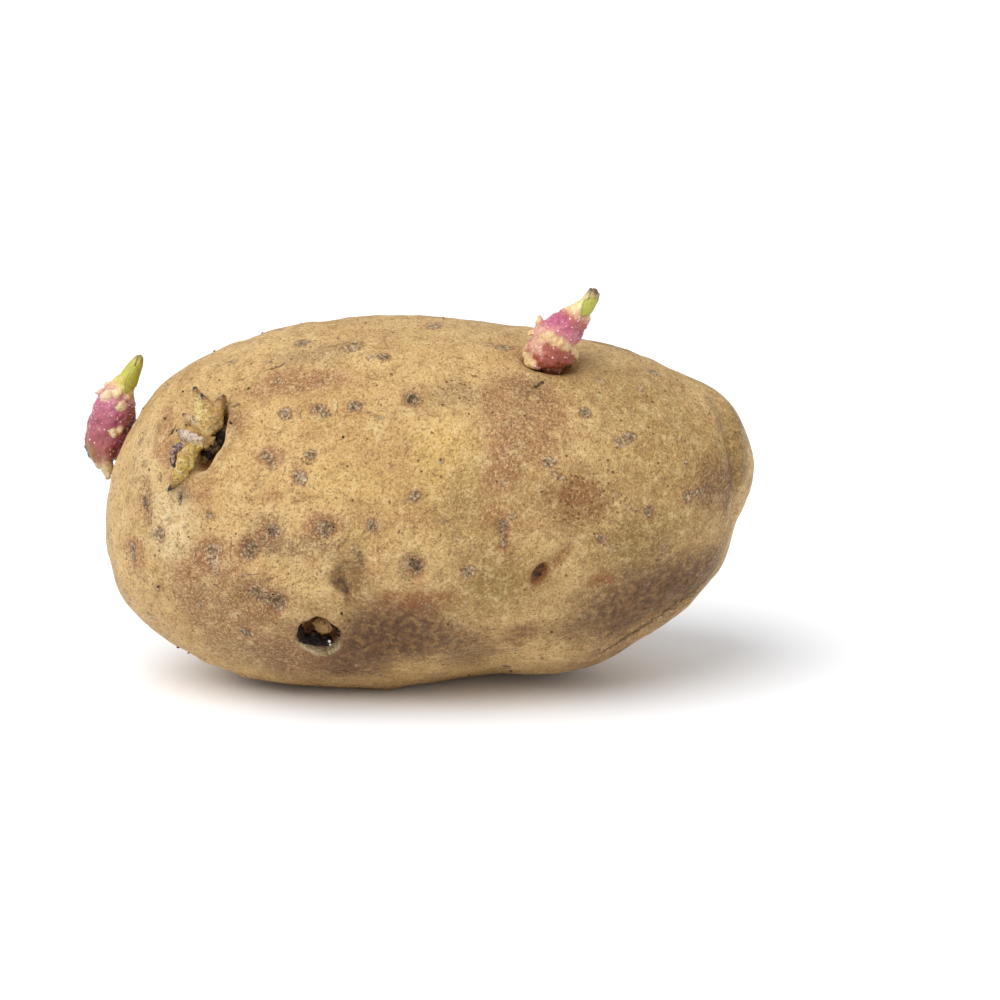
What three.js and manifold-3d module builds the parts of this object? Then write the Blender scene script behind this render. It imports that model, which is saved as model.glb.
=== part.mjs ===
// A potato lying on its side that has begun to sprout: one stout tuber with its eyes and dents, two fresh
// purple sprouts with root nubs and leaf buds, the withered sprouts of an older eye, and a dead bud in a pit.
// Millimetres. X runs along the tuber, Z is up, and the side that is seen first faces -Y.

import * as THREE from "three";
import { mergeVertices } from "three/addons/utils/BufferGeometryUtils.js";
import Module from "manifold-3d";

const wasm = await Module();
wasm.setup();

// Driving dimensions of the tuber. A list holds a size at the middle of the length and then how much of t, t
// squared and t cubed is added to it, where t runs from -1 at the blunt end to 1 at the tapering end.
const TUBER_LENGTH = 110;
const HALF_LENGTH = TUBER_LENGTH / 2;
const CENTRE_HEIGHT = [30.6, 5.0, 1.0];
const RISE = [30.6, -6.3, 0.8, 1.4];
const DROP = [31.3, 2.8, 2.0];
const HALF_DEPTH = [29.5, -1.0];
const BLUNTNESS = [2.35, -0.25];
const SKIN_DETAIL = 17;
const GAP = 0.3;

// A place on the skin is given by its distance along the length from the middle, and by its angle round the
// length: 0 faces the viewer and 90 is the crown. long and wide are half sizes, turned by turn degrees.
const SWELLS = [
  { high: 1.2, along: -10, around: 80, long: 18, wide: 26 }, // the highest part of the crown
  { high: 1.3, along: -44, around: 70, long: 9, wide: 16 }, // the shoulder of the blunt end
  { high: 0.6, along: -51, around: -60, long: 6, wide: 12 }, // under the blunt end
  { high: 0.8, along: -32, around: -60, long: 9, wide: 12 },
  { high: -1.8, along: 10, around: -62, long: 9, wide: 14 }, // the arch in the underside
  { high: 1.2, along: 26, around: -60, long: 9, wide: 12 },
  { high: 1.6, along: 24, around: -104, long: 12, wide: 10 }, // the heel on the far side
  { high: 0.8, along: 46, around: -40, long: 8, wide: 12 },
  { high: 0.6, along: 50, around: 60, long: 5, wide: 12 }, // the lobe at the tapering end
  { high: -1.6, along: 53, around: -60, long: 6, wide: 8 }, // the fold under that lobe
  { high: -0.9, along: 49.5, around: 55, long: 2.2, wide: 7, turn: 12 }, // the groove behind that lobe
  { high: 0.9, along: -10, around: -11, long: 2.2, wide: 4.5, turn: -8 }, // the welt beside the pit
  { high: -0.8, along: -13.5, around: -10, long: 1.8, wide: 5, turn: 6 }, // the hollow beside the welt
  { high: -0.9, along: 21, around: -10, long: 5, wide: 1.6, turn: 38 }, // the furrow up from the small eye
  { high: -0.7, along: 36, around: -54, long: 14, wide: 1.4, turn: 8 }, // the crease over the lower edge
  { high: 0.7, along: -27, around: -14, long: 9, wide: 8 }, // the knobbly cheek
  { high: 0.6, along: 3, around: -38, long: 10, wide: 6 },
  { high: -0.8, along: -20, around: 160, long: 16, wide: 10, turn: 20 }, // slack places on the far side
  { high: 0.8, along: 18, around: 172, long: 12, wide: 12 },
  { high: -0.6, along: 34, around: 135, long: 10, wide: 7, turn: -30 },
];

// The eyes are sockets with a flat floor and a steep wall, and a brow of raised skin on the side that the
// bearing points to, in degrees from the length.
const WITHERED_EYE = {
  depth: 3.2, along: -35.2, around: 38.5, long: 6.6, wide: 3.4, turn: 66,
  brow: 0.8, bearing: -20,
};
const DEAD_EYE = {
  depth: 3.6, along: -17.8, around: -29, long: 4.3, wide: 3.4, turn: 90,
  brow: 0.5, bearing: 80,
};
const CROWN_EYE = {
  depth: 1.5, along: 19.8, around: 66, long: 5.6, wide: 4.6, turn: 0,
  brow: 0.5, bearing: -90,
};
const END_EYE = {
  depth: 1.4, along: -51.5, around: 122, long: 4.6, wide: 4.0, turn: 0,
  brow: 0.3, bearing: 90,
};
const SMALL_EYE = {
  depth: 1.5, along: 18.4, around: -13.5, long: 2.6, wide: 1.5, turn: 62,
  brow: 0.3, bearing: -30,
};
const FAR_EYES = [
  { depth: 1.6, along: -8, around: 128, long: 4.2, wide: 2.0, turn: 12, brow: 0.7, bearing: 90 },
  { depth: 1.4, along: -30, around: 176, long: 3.8, wide: 1.8, turn: -14, brow: 0.6, bearing: 80 },
  { depth: 1.5, along: 26, around: 186, long: 4.0, wide: 1.9, turn: 18, brow: 0.6, bearing: 100 },
  { depth: 1.3, along: 47, around: 140, long: 3.2, wide: 1.7, turn: 40, brow: 0.5, bearing: 60 },
  { depth: 1.3, along: 4, around: -132, long: 3.6, wide: 1.8, turn: -10, brow: 0.5, bearing: -90 },
];
const EYES = [WITHERED_EYE, DEAD_EYE, CROWN_EYE, END_EYE, SMALL_EYE, ...FAR_EYES];

// Craters are shallow scars with a raised rim.
const CRATERS = [
  { depth: 1.0, along: -28.6, around: -14, long: 3.0, wide: 3.0 },
  { depth: 0.8, along: -24.3, around: -16.5, long: 2.6, wide: 2.6 },
  { depth: 0.7, along: -28.6, around: 1.9, long: 2.4, wide: 3.0 },
  { depth: 0.6, along: -34.9, around: 1.2, long: 2.8, wide: 2.6 },
  { depth: 0.7, along: -2.3, around: 46.4, long: 2.0, wide: 2.0 },
  { depth: 0.7, along: -1.8, around: -6, long: 2.4, wide: 2.8 },
  { depth: 0.6, along: -16.3, around: 7, long: 2.6, wide: 2.2 },
  { depth: 0.6, along: 12.4, around: 1.5, long: 1.6, wide: 3.6 },
  { depth: 0.6, along: -46.3, around: 20, long: 1.8, wide: 4.0 },
];

// The fresh sprouts. spine and bud list points in millimetres from the skin at the eye, stem and leaf.radii the
// radii along them from the root up, root an egg that joins the stem to its eye, and nubs the rings of root
// nubs: how far up the stem, how many, their size.
const CROWN_SPROUT = {
  eye: CROWN_EYE,
  root: { from: [0, 0.3, -1.6], to: [0.5, -0.6, 1.4], radius: 2.6 },
  spine: [
    [0.2, -0.4, -1.2], [0.5, -0.7, 1.9], [1.2, -0.75, 4.1],
    [2.8, -0.8, 5.8], [4.0, -0.9, 7.1], [4.9, -0.95, 8.2],
  ],
  stem: [2.3, 3.4, 3.5, 3.1, 2.7, 1.9],
  nubs: [
    { up: 0.2, count: 8, size: 1.3 },
    { up: 0.4, count: 9, size: 1.15 },
    { up: 0.54, count: 6, size: 0.8 },
  ],
  bud: [[4.2, -0.9, 7.3], [5.6, -1.0, 9.0], [6.9, -1.1, 10.6], [7.7, -1.1, 12.4]],
  leaf: { radii: [1.5, 1.45, 1.25, 1.15, 0.75], lean: 0.22, count: 2 },
  seed: 7,
};
const END_SPROUT = {
  eye: END_EYE,
  root: { from: [1.2, -0.2, -0.4], to: [-3.6, 0, 0.5], radius: 2.7 },
  spine: [
    [-4.7, 0, -3.6], [-4.5, 0, -1.5], [-3.95, 0, 0.7], [-2.9, 0, 3.7],
    [-1.9, 0, 7.5], [-1.0, 0, 9.5], [0, 0, 11.2],
  ],
  stem: [1.9, 2.8, 3.3, 3.7, 3.55, 2.9, 1.7],
  nubs: [
    { up: 0.06, count: 4, size: 0.9 },
    { up: 0.5, count: 3, size: 0.85 },
    { up: 0.82, count: 7, size: 0.95 },
  ],
  bud: [[-0.3, 0, 10.4], [0.8, 0, 12.7], [1.9, 0, 14.6], [2.6, 0, 15.9]],
  leaf: { radii: [1.65, 1.5, 1.05, 0.7, 0.25], lean: 0.3, count: 3 },
  seed: 23,
};

// The withered sprouts. A lobe's path is a list of places on the skin with a height over it.
const WITHERED_UPPER = [
  { path: [[-35.6, 41, -0.6], [-36.4, 46, 1.6], [-37.4, 53, 2.4], [-38.6, 62, 2.8]], fat: 1.75 },
  { path: [[-34.8, 41, -0.6], [-34.2, 45, 1.4], [-33.6, 49, 1.8], [-33.0, 54, 1.9]], fat: 1.55 },
  { path: [[-36.2, 41, -0.4], [-37.4, 45.5, 1.5], [-38.6, 49, 1.7], [-39.8, 52, 1.6]], fat: 0.95 },
];
const WITHERED_LOWER = [
  {
    path: [
      [-35.8, 37.5, -0.6], [-37.8, 36.5, 1.5], [-39.4, 32, 1.9],
      [-41.0, 27.5, 1.7], [-42.6, 23, 1.0],
    ],
    fat: 1.7,
  },
  { path: [[-36.0, 38.5, -0.6], [-38.0, 41.5, 1.4], [-39.6, 44.5, 1.7], [-40.9, 47.5, 1.5]], fat: 1.05 },
  { path: [[-36.8, 36, 0.2], [-39.2, 36.5, 1.1], [-41.0, 33.5, 1.1], [-41.6, 29, 0.8]], fat: 1.2 },
];

// The dead bud is a curled dark strip along the rim of its pit, with a stub in the middle of it.
const DEAD_STRIP = [[-20.2, -23.5, -1.0], [-20.3, -29, -1.5], [-19.2, -32.5, -1.9], [-16.4, -33, -2.0]];
const DEAD_STRIP_RADII = [0.45, 0.65, 0.65, 0.45];
const DEAD_STUB = { along: -17.4, around: -29.5, lift: -2.5, radius: 1.35, length: 1.1 };

// Profiles shared by like features, as shares of the feature's own size.
const SOCKET_FLOOR = 0.5;
const SOCKET_EDGE = 1.05;
const BROW = { at: 1.25, wide: 0.3 };
const CRATER_RIM = { at: 1.1, wide: 0.3, high: 0.35 };
const CRATER_STEEPNESS = 2;
const OFF_PLANE_WEIGHT = 0.3; // how much a point's height over a feature counts in its distance from it
const LOBE_PROFILE = [0.7, 1, 0.85, 0.95, 0.25];
const LOBE_FLATNESS = 0.8;
const LEAF_FLATNESS = 0.85;
const LEAF_STEP_DOWN = 0.07; // each next leaf of a bud is this much shorter
const NUB_SLIMNESS = 0.72;
const NUB_SINK = 0.93;
const SPINDLE_END = 0.03; // the share of a spindle's length that each closed end takes

// How finely each kind of piece is divided.
const SHAFT = { steps: 12, sides: 16 };
const LEAF_BLADE = { steps: 8, sides: 10, flat: LEAF_FLATNESS };
const LOBE = { steps: 12, sides: 9, flat: LOBE_FLATNESS };
const STRIP = { steps: 8, sides: 8, flat: 1 };
const NUB_SIDES = 7;
const ROOT_SIDES = 12;
const CROWDING_REACH = 2.4; // in half lengths of the eye
const CROWDING_PULL = 0.55;

const SKIN = { color: 0xcda971, roughness: 0.72, metalness: 0 };
const PURPLE = { color: 0xc47a86, roughness: 0.5, metalness: 0 };
const LEAF = { color: 0xc3bb60, roughness: 0.45, metalness: 0 };
const STRAW = { color: 0xd6bd77, roughness: 0.6, metalness: 0 };
const CHARRED = { color: 0x33251d, roughness: 0.4, metalness: 0 };

const radians = THREE.MathUtils.degToRad;
const smoothstep = THREE.MathUtils.smoothstep;

function atLength(sizes, t) {
  return sizes.reduce((sum, size, power) => sum + size * t ** power, 0);
}

// The plain body: an ellipsoid whose half sizes change along it, with a blunter curve where BLUNTNESS is over
// 2. It takes a direction from the middle and gives the point there and the outward normal.
function body(direction) {
  const t = direction.x;
  const blunt = atLength(BLUNTNESS, t);
  const round = 1 - t * t;
  const fullness = round > 1e-9 ? Math.sqrt((1 - Math.abs(t) ** blunt) / round) : Math.sqrt(blunt / 2);
  const depth = atLength(HALF_DEPTH, t);
  const height = atLength(direction.z > 0 ? RISE : DROP, t);
  return {
    point: new THREE.Vector3(
      HALF_LENGTH * t,
      depth * fullness * direction.y,
      atLength(CENTRE_HEIGHT, t) + height * fullness * direction.z,
    ),
    normal: new THREE.Vector3(
      (t * fullness) / HALF_LENGTH,
      direction.y / depth,
      direction.z / height,
    ).normalize(),
  };
}

function directionTo(place) {
  const t = place.along / HALF_LENGTH;
  const ring = Math.sqrt(Math.max(1 - t * t, 0));
  const angle = radians(place.around);
  return new THREE.Vector3(t, -ring * Math.cos(angle), ring * Math.sin(angle));
}

function bell(x, wide = 1) {
  return Math.exp(-((x / wide) ** 2));
}

// The distance of a point from a feature, where 1 is the feature's own edge.
function reachOf(feature) {
  const { point: centre, normal } = body(directionTo(feature));
  const lengthwise = new THREE.Vector3(1, 0, 0).addScaledVector(normal, -normal.x).normalize();
  const crosswise = new THREE.Vector3().crossVectors(normal, lengthwise);
  const turn = radians(feature.turn ?? 0);
  const longAxis = lengthwise.clone().applyAxisAngle(normal, turn);
  const wideAxis = crosswise.clone().applyAxisAngle(normal, turn);
  const offset = new THREE.Vector3();
  return (point) => {
    offset.subVectors(point, centre);
    const u = offset.dot(longAxis) / feature.long;
    const v = offset.dot(wideAxis) / feature.wide;
    const w = offset.dot(normal) / Math.max(feature.long, feature.wide);
    return { reach: Math.sqrt(u * u + v * v + OFF_PLANE_WEIGHT * w * w), u, v };
  };
}

// Each feature becomes a function from a point of the plain body to a height over it.
const RELIEF = [
  ...SWELLS.map((swell) => {
    const reachTo = reachOf(swell);
    return (point) => swell.high * bell(reachTo(point).reach);
  }),
  ...EYES.map((eye) => {
    const reachTo = reachOf(eye);
    const bearing = radians(eye.bearing - eye.turn);
    return (point) => {
      const { reach, u, v } = reachTo(point);
      const socket = 1 - smoothstep(reach, SOCKET_FLOOR, SOCKET_EDGE);
      const side = Math.max(0, u * Math.cos(bearing) + v * Math.sin(bearing)) / Math.max(reach, SOCKET_FLOOR);
      return eye.brow * side * bell(reach - BROW.at, BROW.wide) - eye.depth * socket;
    };
  }),
  ...CRATERS.map((crater) => {
    const reachTo = reachOf(crater);
    return (point) => {
      const { reach } = reachTo(point);
      const rim = CRATER_RIM.high * bell(reach - CRATER_RIM.at, CRATER_RIM.wide);
      return crater.depth * (rim - Math.exp(-CRATER_STEEPNESS * reach * reach));
    };
  }),
];

// A point of the skin, with its relief and its flattened foot.
function skin(direction) {
  const { point, normal } = body(direction);
  const height = RELIEF.reduce((sum, relief) => sum + relief(point), 0);
  point.addScaledVector(normal, height);
  point.z = Math.max(point.z, 0);
  return point;
}

function weld(geometry) {
  geometry.deleteAttribute("normal");
  geometry.deleteAttribute("uv");
  return mergeVertices(geometry);
}

// A bent lathe may come out inside out, so its triangles are turned round where the volume is negative.
function toSolid(geometry) {
  const merged = weld(geometry);
  const triVerts = new Uint32Array(merged.index.array);
  const vertProperties = merged.attributes.position.array;
  const build = () => new wasm.Manifold(new wasm.Mesh({ numProp: 3, vertProperties, triVerts }));
  const solid = build();
  if (solid.volume() > 0) return solid;
  for (let i = 0; i < triVerts.length; i += 3) {
    [triVerts[i], triVerts[i + 1]] = [triVerts[i + 1], triVerts[i]];
  }
  return build();
}

function toGeometry(solid) {
  const { vertProperties, triVerts } = solid.getMesh();
  const geometry = new THREE.BufferGeometry();
  geometry.setAttribute("position", new THREE.BufferAttribute(vertProperties, 3));
  geometry.setIndex(new THREE.BufferAttribute(triVerts, 1));
  geometry.computeVertexNormals();
  return geometry;
}

// The same solid with its surface moved outwards, to cut a clearance with.
function swollen(solid) {
  const geometry = toGeometry(solid);
  const { position, normal } = geometry.attributes;
  for (let i = 0; i < position.count; i++) {
    position.setXYZ(
      i,
      position.getX(i) + GAP * normal.getX(i),
      position.getY(i) + GAP * normal.getY(i),
      position.getZ(i) + GAP * normal.getZ(i),
    );
  }
  return toSolid(geometry);
}

function toMesh(name, solid, finish) {
  const largest = solid.decompose().reduce((a, b) => (a.volume() > b.volume() ? a : b));
  const mesh = new THREE.Mesh(toGeometry(largest), new THREE.MeshStandardMaterial(finish));
  mesh.name = name;
  return mesh;
}

// Directions crowd together round each eye, so that its socket gets smaller triangles.
const CROWDING = EYES.map((eye) => ({
  towards: directionTo(eye),
  reach: (CROWDING_REACH * eye.long) / Math.sqrt(HALF_LENGTH * HALF_DEPTH[0]),
}));

function crowd(direction) {
  for (const { towards, reach } of CROWDING) {
    const angle = direction.angleTo(towards);
    if (angle >= reach) continue;
    const axis = new THREE.Vector3().crossVectors(direction, towards).normalize();
    direction.applyAxisAngle(axis, angle * CROWDING_PULL * (1 - angle / reach) ** 2);
  }
  return direction;
}

function tuberSolid() {
  const ball = weld(new THREE.IcosahedronGeometry(1, SKIN_DETAIL));
  const place = ball.attributes.position;
  const direction = new THREE.Vector3();
  for (let i = 0; i < place.count; i++) {
    direction.fromBufferAttribute(place, i).normalize();
    const point = skin(crowd(direction));
    place.setXYZ(i, point.x, point.y, point.z);
  }
  return toSolid(ball);
}

// The way across a sprout that runs along tangent. No sprout runs along Y.
function across(tangent) {
  return new THREE.Vector3(0, 1, 0).cross(tangent).normalize();
}

// A spindle: a lathed profile of radii from root to tip, bent along a smooth curve through the given points.
// flat is its thickness as a share of its width.
function spindle(points, radii, { steps, sides, flat = 1 }) {
  const curve = new THREE.CatmullRomCurve3(points);
  const height = (i) => SPINDLE_END + ((1 - 2 * SPINDLE_END) * i) / (radii.length - 1);
  const side = new THREE.SplineCurve(radii.map((radius, i) => new THREE.Vector2(radius, height(i))));
  const profile = [new THREE.Vector2(0, 0), ...side.getPoints(steps), new THREE.Vector2(0, 1)];
  const geometry = new THREE.LatheGeometry(profile, sides);
  const place = geometry.attributes.position;
  for (let i = 0; i < place.count; i++) {
    const up = place.getY(i);
    const tangent = curve.getTangentAt(up);
    const sideways = across(tangent);
    const through = new THREE.Vector3().crossVectors(tangent, sideways);
    const point = curve
      .getPointAt(up)
      .addScaledVector(sideways, place.getX(i))
      .addScaledVector(through, place.getZ(i) * flat);
    place.setXYZ(i, point.x, point.y, point.z);
  }
  return toSolid(geometry);
}

// A small egg, length from its middle to each end along the way it points.
function egg(centre, pointing, radius, length, sides) {
  const geometry = new THREE.SphereGeometry(1, sides, sides - 2).scale(radius, length, radius);
  const turn = new THREE.Quaternion().setFromUnitVectors(new THREE.Vector3(0, 1, 0), pointing);
  geometry.applyQuaternion(turn).translate(centre.x, centre.y, centre.z);
  return toSolid(geometry);
}

// The same draws between 0 and 1 for the same seed, by a multiplying generator.
function randomFrom(seed) {
  const multiplier = 16807;
  const modulus = 2 ** 31 - 1;
  let state = seed;
  return () => {
    state = (state * multiplier) % modulus;
    return state / modulus;
  };
}

// The point over a place on the plain body, and points given from an eye.
function onSkin([along, around, lift]) {
  const { point, normal } = body(directionTo({ along, around }));
  return point.addScaledVector(normal, lift);
}

function fromEye(eye, offsets) {
  const { point } = body(directionTo(eye));
  return offsets.map(([x, y, z]) => point.clone().add(new THREE.Vector3(x, y, z)));
}

// The stem with its root nubs, and its smooth shaft alone.
function sproutStem(sprout) {
  const random = randomFrom(sprout.seed);
  const points = fromEye(sprout.eye, sprout.spine);
  const curve = new THREE.CatmullRomCurve3(points);
  const radii = new THREE.SplineCurve(sprout.stem.map((radius, i) => new THREE.Vector2(radius, i)));
  const [from, to] = fromEye(sprout.eye, [sprout.root.from, sprout.root.to]);
  const middle = from.clone().lerp(to, 0.5);
  const outwards = to.clone().sub(from);
  const root = egg(middle, outwards.clone().normalize(), sprout.root.radius, outwards.length(), ROOT_SIDES);
  const shaft = spindle(points, sprout.stem, SHAFT);
  let stem = shaft.add(root);
  for (const ring of sprout.nubs) {
    for (let i = 0; i < ring.count; i++) {
      const up = ring.up + 0.05 * (random() - 0.5);
      const angle = ((i + 0.5 * random()) / ring.count) * 2 * Math.PI;
      const size = ring.size * (0.75 + 0.5 * random());
      const tangent = curve.getTangentAt(up);
      const out = across(tangent).applyAxisAngle(tangent, angle);
      const centre = curve.getPointAt(up).addScaledVector(out, radii.getPoint(up).x * NUB_SINK);
      stem = stem.add(egg(centre, out, size * NUB_SLIMNESS, size, NUB_SIDES));
    }
  }
  return { stem, shaft };
}

// The bud is a cone of folded leaves: count leaves lie round its axis, each leaning on the others.
function sproutBud(sprout) {
  const { radii, lean, count } = sprout.leaf;
  const axis = new THREE.CatmullRomCurve3(fromEye(sprout.eye, sprout.bud));
  const leaves = Array.from({ length: count }, (_, i) => {
    const angle = ((i + 0.2) / count) * 2 * Math.PI;
    const aside = new THREE.Vector3(Math.cos(angle), Math.sin(angle), 0).multiplyScalar(lean * radii[0]);
    const height = 1 - LEAF_STEP_DOWN * i;
    const points = [0, 1 / 3, 2 / 3, 1].map((up) => axis.getPoint(up * height).add(aside));
    return spindle(points, radii, LEAF_BLADE);
  });
  return leaves.reduce((a, b) => a.add(b));
}

function witheredLobes(lobes) {
  return lobes
    .map(({ path, fat }) => spindle(path.map(onSkin), LOBE_PROFILE.map((share) => share * fat), LOBE))
    .reduce((a, b) => a.add(b));
}

function deadBud() {
  const strip = spindle(DEAD_STRIP.map(onSkin), DEAD_STRIP_RADII, STRIP);
  const centre = onSkin([DEAD_STUB.along, DEAD_STUB.around, DEAD_STUB.lift]);
  const { normal } = body(directionTo(DEAD_STUB));
  return strip.add(egg(centre, normal, DEAD_STUB.radius, DEAD_STUB.length, ROOT_SIDES));
}

// Each piece stops a hair short of what it grows from.
const tuber = tuberSolid();
const grownFrom = (solid, ...carriers) =>
  carriers.reduce((rest, carrier) => rest.subtract(swollen(carrier)), solid);
const crown = sproutStem(CROWN_SPROUT);
const end = sproutStem(END_SPROUT);
const witheredUpper = witheredLobes(WITHERED_UPPER);
const witheredLower = grownFrom(witheredLobes(WITHERED_LOWER), tuber, witheredUpper);

const potato = new THREE.Group();
potato.add(toMesh("tuber", tuber, SKIN));
potato.add(toMesh("crown_sprout_stem", grownFrom(crown.stem, tuber), PURPLE));
potato.add(toMesh("crown_sprout_bud", grownFrom(sproutBud(CROWN_SPROUT), crown.shaft), LEAF));
potato.add(toMesh("end_sprout_stem", grownFrom(end.stem, tuber), PURPLE));
potato.add(toMesh("end_sprout_bud", grownFrom(sproutBud(END_SPROUT), end.shaft), LEAF));
potato.add(toMesh("withered_sprout_upper", grownFrom(witheredUpper, tuber), STRAW));
potato.add(toMesh("withered_sprout_lower", witheredLower, STRAW));
potato.add(toMesh("dead_bud", grownFrom(deadBud(), tuber), CHARRED));

// The origin is the middle of the footprint, on the floor.
const extent = new THREE.Box3().setFromObject(potato);
const middle = extent.getCenter(new THREE.Vector3());
potato.position.set(-middle.x, -middle.y, -extent.min.z);

export default potato;
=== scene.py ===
"""A potato that has begun to sprout, lying on its side.

Every size is in millimetres until a mesh is made, X runs along the tuber, Z is up and the front faces -Y.
"""

import math

import bpy
import numpy as np
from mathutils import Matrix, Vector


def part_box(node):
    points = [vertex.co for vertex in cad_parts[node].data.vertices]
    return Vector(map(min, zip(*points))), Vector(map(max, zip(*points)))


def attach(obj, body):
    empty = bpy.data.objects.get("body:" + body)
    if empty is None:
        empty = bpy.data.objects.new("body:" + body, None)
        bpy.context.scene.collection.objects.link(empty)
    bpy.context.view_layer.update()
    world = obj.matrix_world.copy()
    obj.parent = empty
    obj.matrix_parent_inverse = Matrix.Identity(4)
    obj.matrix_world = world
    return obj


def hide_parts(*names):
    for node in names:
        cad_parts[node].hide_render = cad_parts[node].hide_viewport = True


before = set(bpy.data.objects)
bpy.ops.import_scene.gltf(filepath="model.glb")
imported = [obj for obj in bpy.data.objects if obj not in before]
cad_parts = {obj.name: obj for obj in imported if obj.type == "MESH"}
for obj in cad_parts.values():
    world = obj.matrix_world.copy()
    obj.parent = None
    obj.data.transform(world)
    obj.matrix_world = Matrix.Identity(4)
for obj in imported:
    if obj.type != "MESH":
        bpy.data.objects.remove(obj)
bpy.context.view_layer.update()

bl_info = {
    "name": "Sprouting Potato",
    "version": (1, 0, 0),
    "blender": (4, 5, 0),
    "location": "View3D > Sidebar > Potato",
    "description": "Makes a sprouting potato, its skin, sprouts and buds, and a plain stage for it",
    "category": "Object",
}

MM = 0.001
BODY = "root"

# The tuber. A tuple holds a size at the middle of the length, then how much of t, t squared and t cubed is
# added to it, where t runs from -1 at the blunt end to 1 at the tapering end.
HALF_LENGTH = 55.0
CENTRE_HEIGHT = (30.6, 5.0, 1.0)
RISE = (30.6, -6.3, 0.8, 1.4)
DROP = (31.3, 2.8, 2.0)
HALF_DEPTH = (29.5, -1.0)
BLUNTNESS = (2.35, -0.25)

GRID = (186, 102, 102)  # cells of the mesh along each axis
SKIN_TUCK = 0.12  # keeps the finest relief inside the plain shape

# Relief by smooth noise: height, size and seed of each layer.
SKIN_RELIEF = ((0.36, 8.0, 1), (0.21, 3.4, 2), (0.07, 1.5, 3), (0.03, 0.8, 4))
RUSSET_RELIEF = ((0.26, 2.6, 5), (0.17, 1.4, 6))
STEM_RELIEF = ((0.36, 1.4, 31), (0.17, 0.6, 32))
LOBE_RELIEF = ((0.28, 1.1, 41), (0.14, 0.5, 42))
PLATE_RELIEF = ((0.34, 0.7, 71), (0.2, 0.35, 72))
DEAD_RELIEF = ((0.28, 0.9, 51), (0.2, 0.4, 52))

# A place on the skin is along, the distance from the middle of the length, and around, the angle round the
# length: 0 faces the front and 90 is the crown. long and wide are half sizes, turned by turn degrees.
SWELLS = (
    dict(high=1.2, along=-10, around=80, long=18, wide=26),
    dict(high=1.3, along=-44, around=70, long=9, wide=16),
    dict(high=0.6, along=-51, around=-60, long=6, wide=12),
    dict(high=0.8, along=-32, around=-60, long=9, wide=12),
    dict(high=-1.8, along=10, around=-62, long=9, wide=14),
    dict(high=1.2, along=26, around=-60, long=9, wide=12),
    dict(high=1.6, along=24, around=-104, long=12, wide=10),
    dict(high=0.8, along=46, around=-40, long=8, wide=12),
    dict(high=0.6, along=50, around=60, long=5, wide=12),
    dict(high=-1.6, along=53, around=-60, long=6, wide=8),
    dict(high=-0.9, along=49.5, around=55, long=2.2, wide=7, turn=12),
    dict(high=-0.9, along=52.4, around=-34, long=1.2, wide=5),
    dict(high=-0.8, along=51.3, around=6, long=1.2, wide=5.5),
    dict(high=-0.7, along=50.4, around=30, long=1.3, wide=4.5),
    dict(high=0.9, along=-10, around=-11, long=2.2, wide=4.5, turn=-8),
    dict(high=-0.8, along=-13.5, around=-10, long=1.8, wide=5, turn=6),
    dict(high=-0.9, along=21, around=-10, long=5, wide=1.6, turn=38),
    dict(high=-0.7, along=36, around=-54, long=14, wide=1.4, turn=8),
    dict(high=0.7, along=-27, around=-14, long=9, wide=8),
    dict(high=0.6, along=3, around=-38, long=10, wide=6),
    dict(high=-0.8, along=-20, around=160, long=16, wide=10, turn=20),
    dict(high=0.8, along=18, around=172, long=12, wide=12),
    dict(high=-0.6, along=34, around=135, long=10, wide=7, turn=-30),
)

# The eyes: sockets with a flat floor, a steep wall and a brow on the side that the bearing points to, in
# degrees from the length.
WITHERED_EYE = dict(depth=3.0, along=-35.5, around=39.5, long=5.8, wide=2.9, turn=66, brow=0.8, bearing=-20)
DEAD_EYE = dict(depth=3.6, along=-17.8, around=-30, long=4.15, wide=3.55, turn=90, brow=0.5, bearing=80)
CROWN_EYE = dict(depth=1.2, along=19.8, around=66, long=5.2, wide=3.4, turn=0, brow=0.9, bearing=-90)
END_EYE = dict(depth=1.4, along=-51.5, around=122, long=4.6, wide=4.0, turn=0, brow=0.3, bearing=90)
SMALL_EYE = dict(depth=1.5, along=18.4, around=-13.5, long=2.6, wide=1.5, turn=62, brow=0.3, bearing=-30)
FAR_EYES = (
    dict(depth=1.6, along=-8, around=128, long=4.2, wide=2.0, turn=12, brow=0.7, bearing=90),
    dict(depth=1.4, along=-30, around=176, long=3.8, wide=1.8, turn=-14, brow=0.6, bearing=80),
    dict(depth=1.5, along=26, around=186, long=4.0, wide=1.9, turn=18, brow=0.6, bearing=100),
    dict(depth=1.3, along=47, around=140, long=3.2, wide=1.7, turn=40, brow=0.5, bearing=60),
    dict(depth=1.3, along=4, around=-132, long=3.6, wide=1.8, turn=-10, brow=0.5, bearing=-90),
)
EYES = (WITHERED_EYE, DEAD_EYE, CROWN_EYE, END_EYE, SMALL_EYE, *FAR_EYES)
# For each eye, how dark it is inside, and where its wall meets its floor as a share of its size.
EYE_DARKNESS = (0.5, 0.56, 0.45, 0.5, 0.75, 0.3, 0.3, 0.3, 0.3, 0.3)
EYE_WALL_FOOT = (0.66, 0.8, 0.5, 0.5, 0.5, 0.5, 0.5, 0.5, 0.5, 0.5)
SOCKET_FLOOR = 0.5
SOCKET_EDGE = 1.05
# Pale cut rims: the eye, and the bearing of the side that has one.
CUT_RIMS = ((WITHERED_EYE, -40), (DEAD_EYE, -90))
CUT_RIM_AT, CUT_RIM_WIDE = 1.04, 0.07
RAGGED_RIM = 0.13
BROW_AT, BROW_WIDE = 1.25, 0.3
OFF_PLANE_WEIGHT = 0.3  # how much the depth under the skin counts in a distance from a feature
# How far round an eye the cells of the mesh crowd in, in its half lengths, and how strongly.
CROWDING_REACH, CROWDING_PULL = 2.4, 0.5

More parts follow.
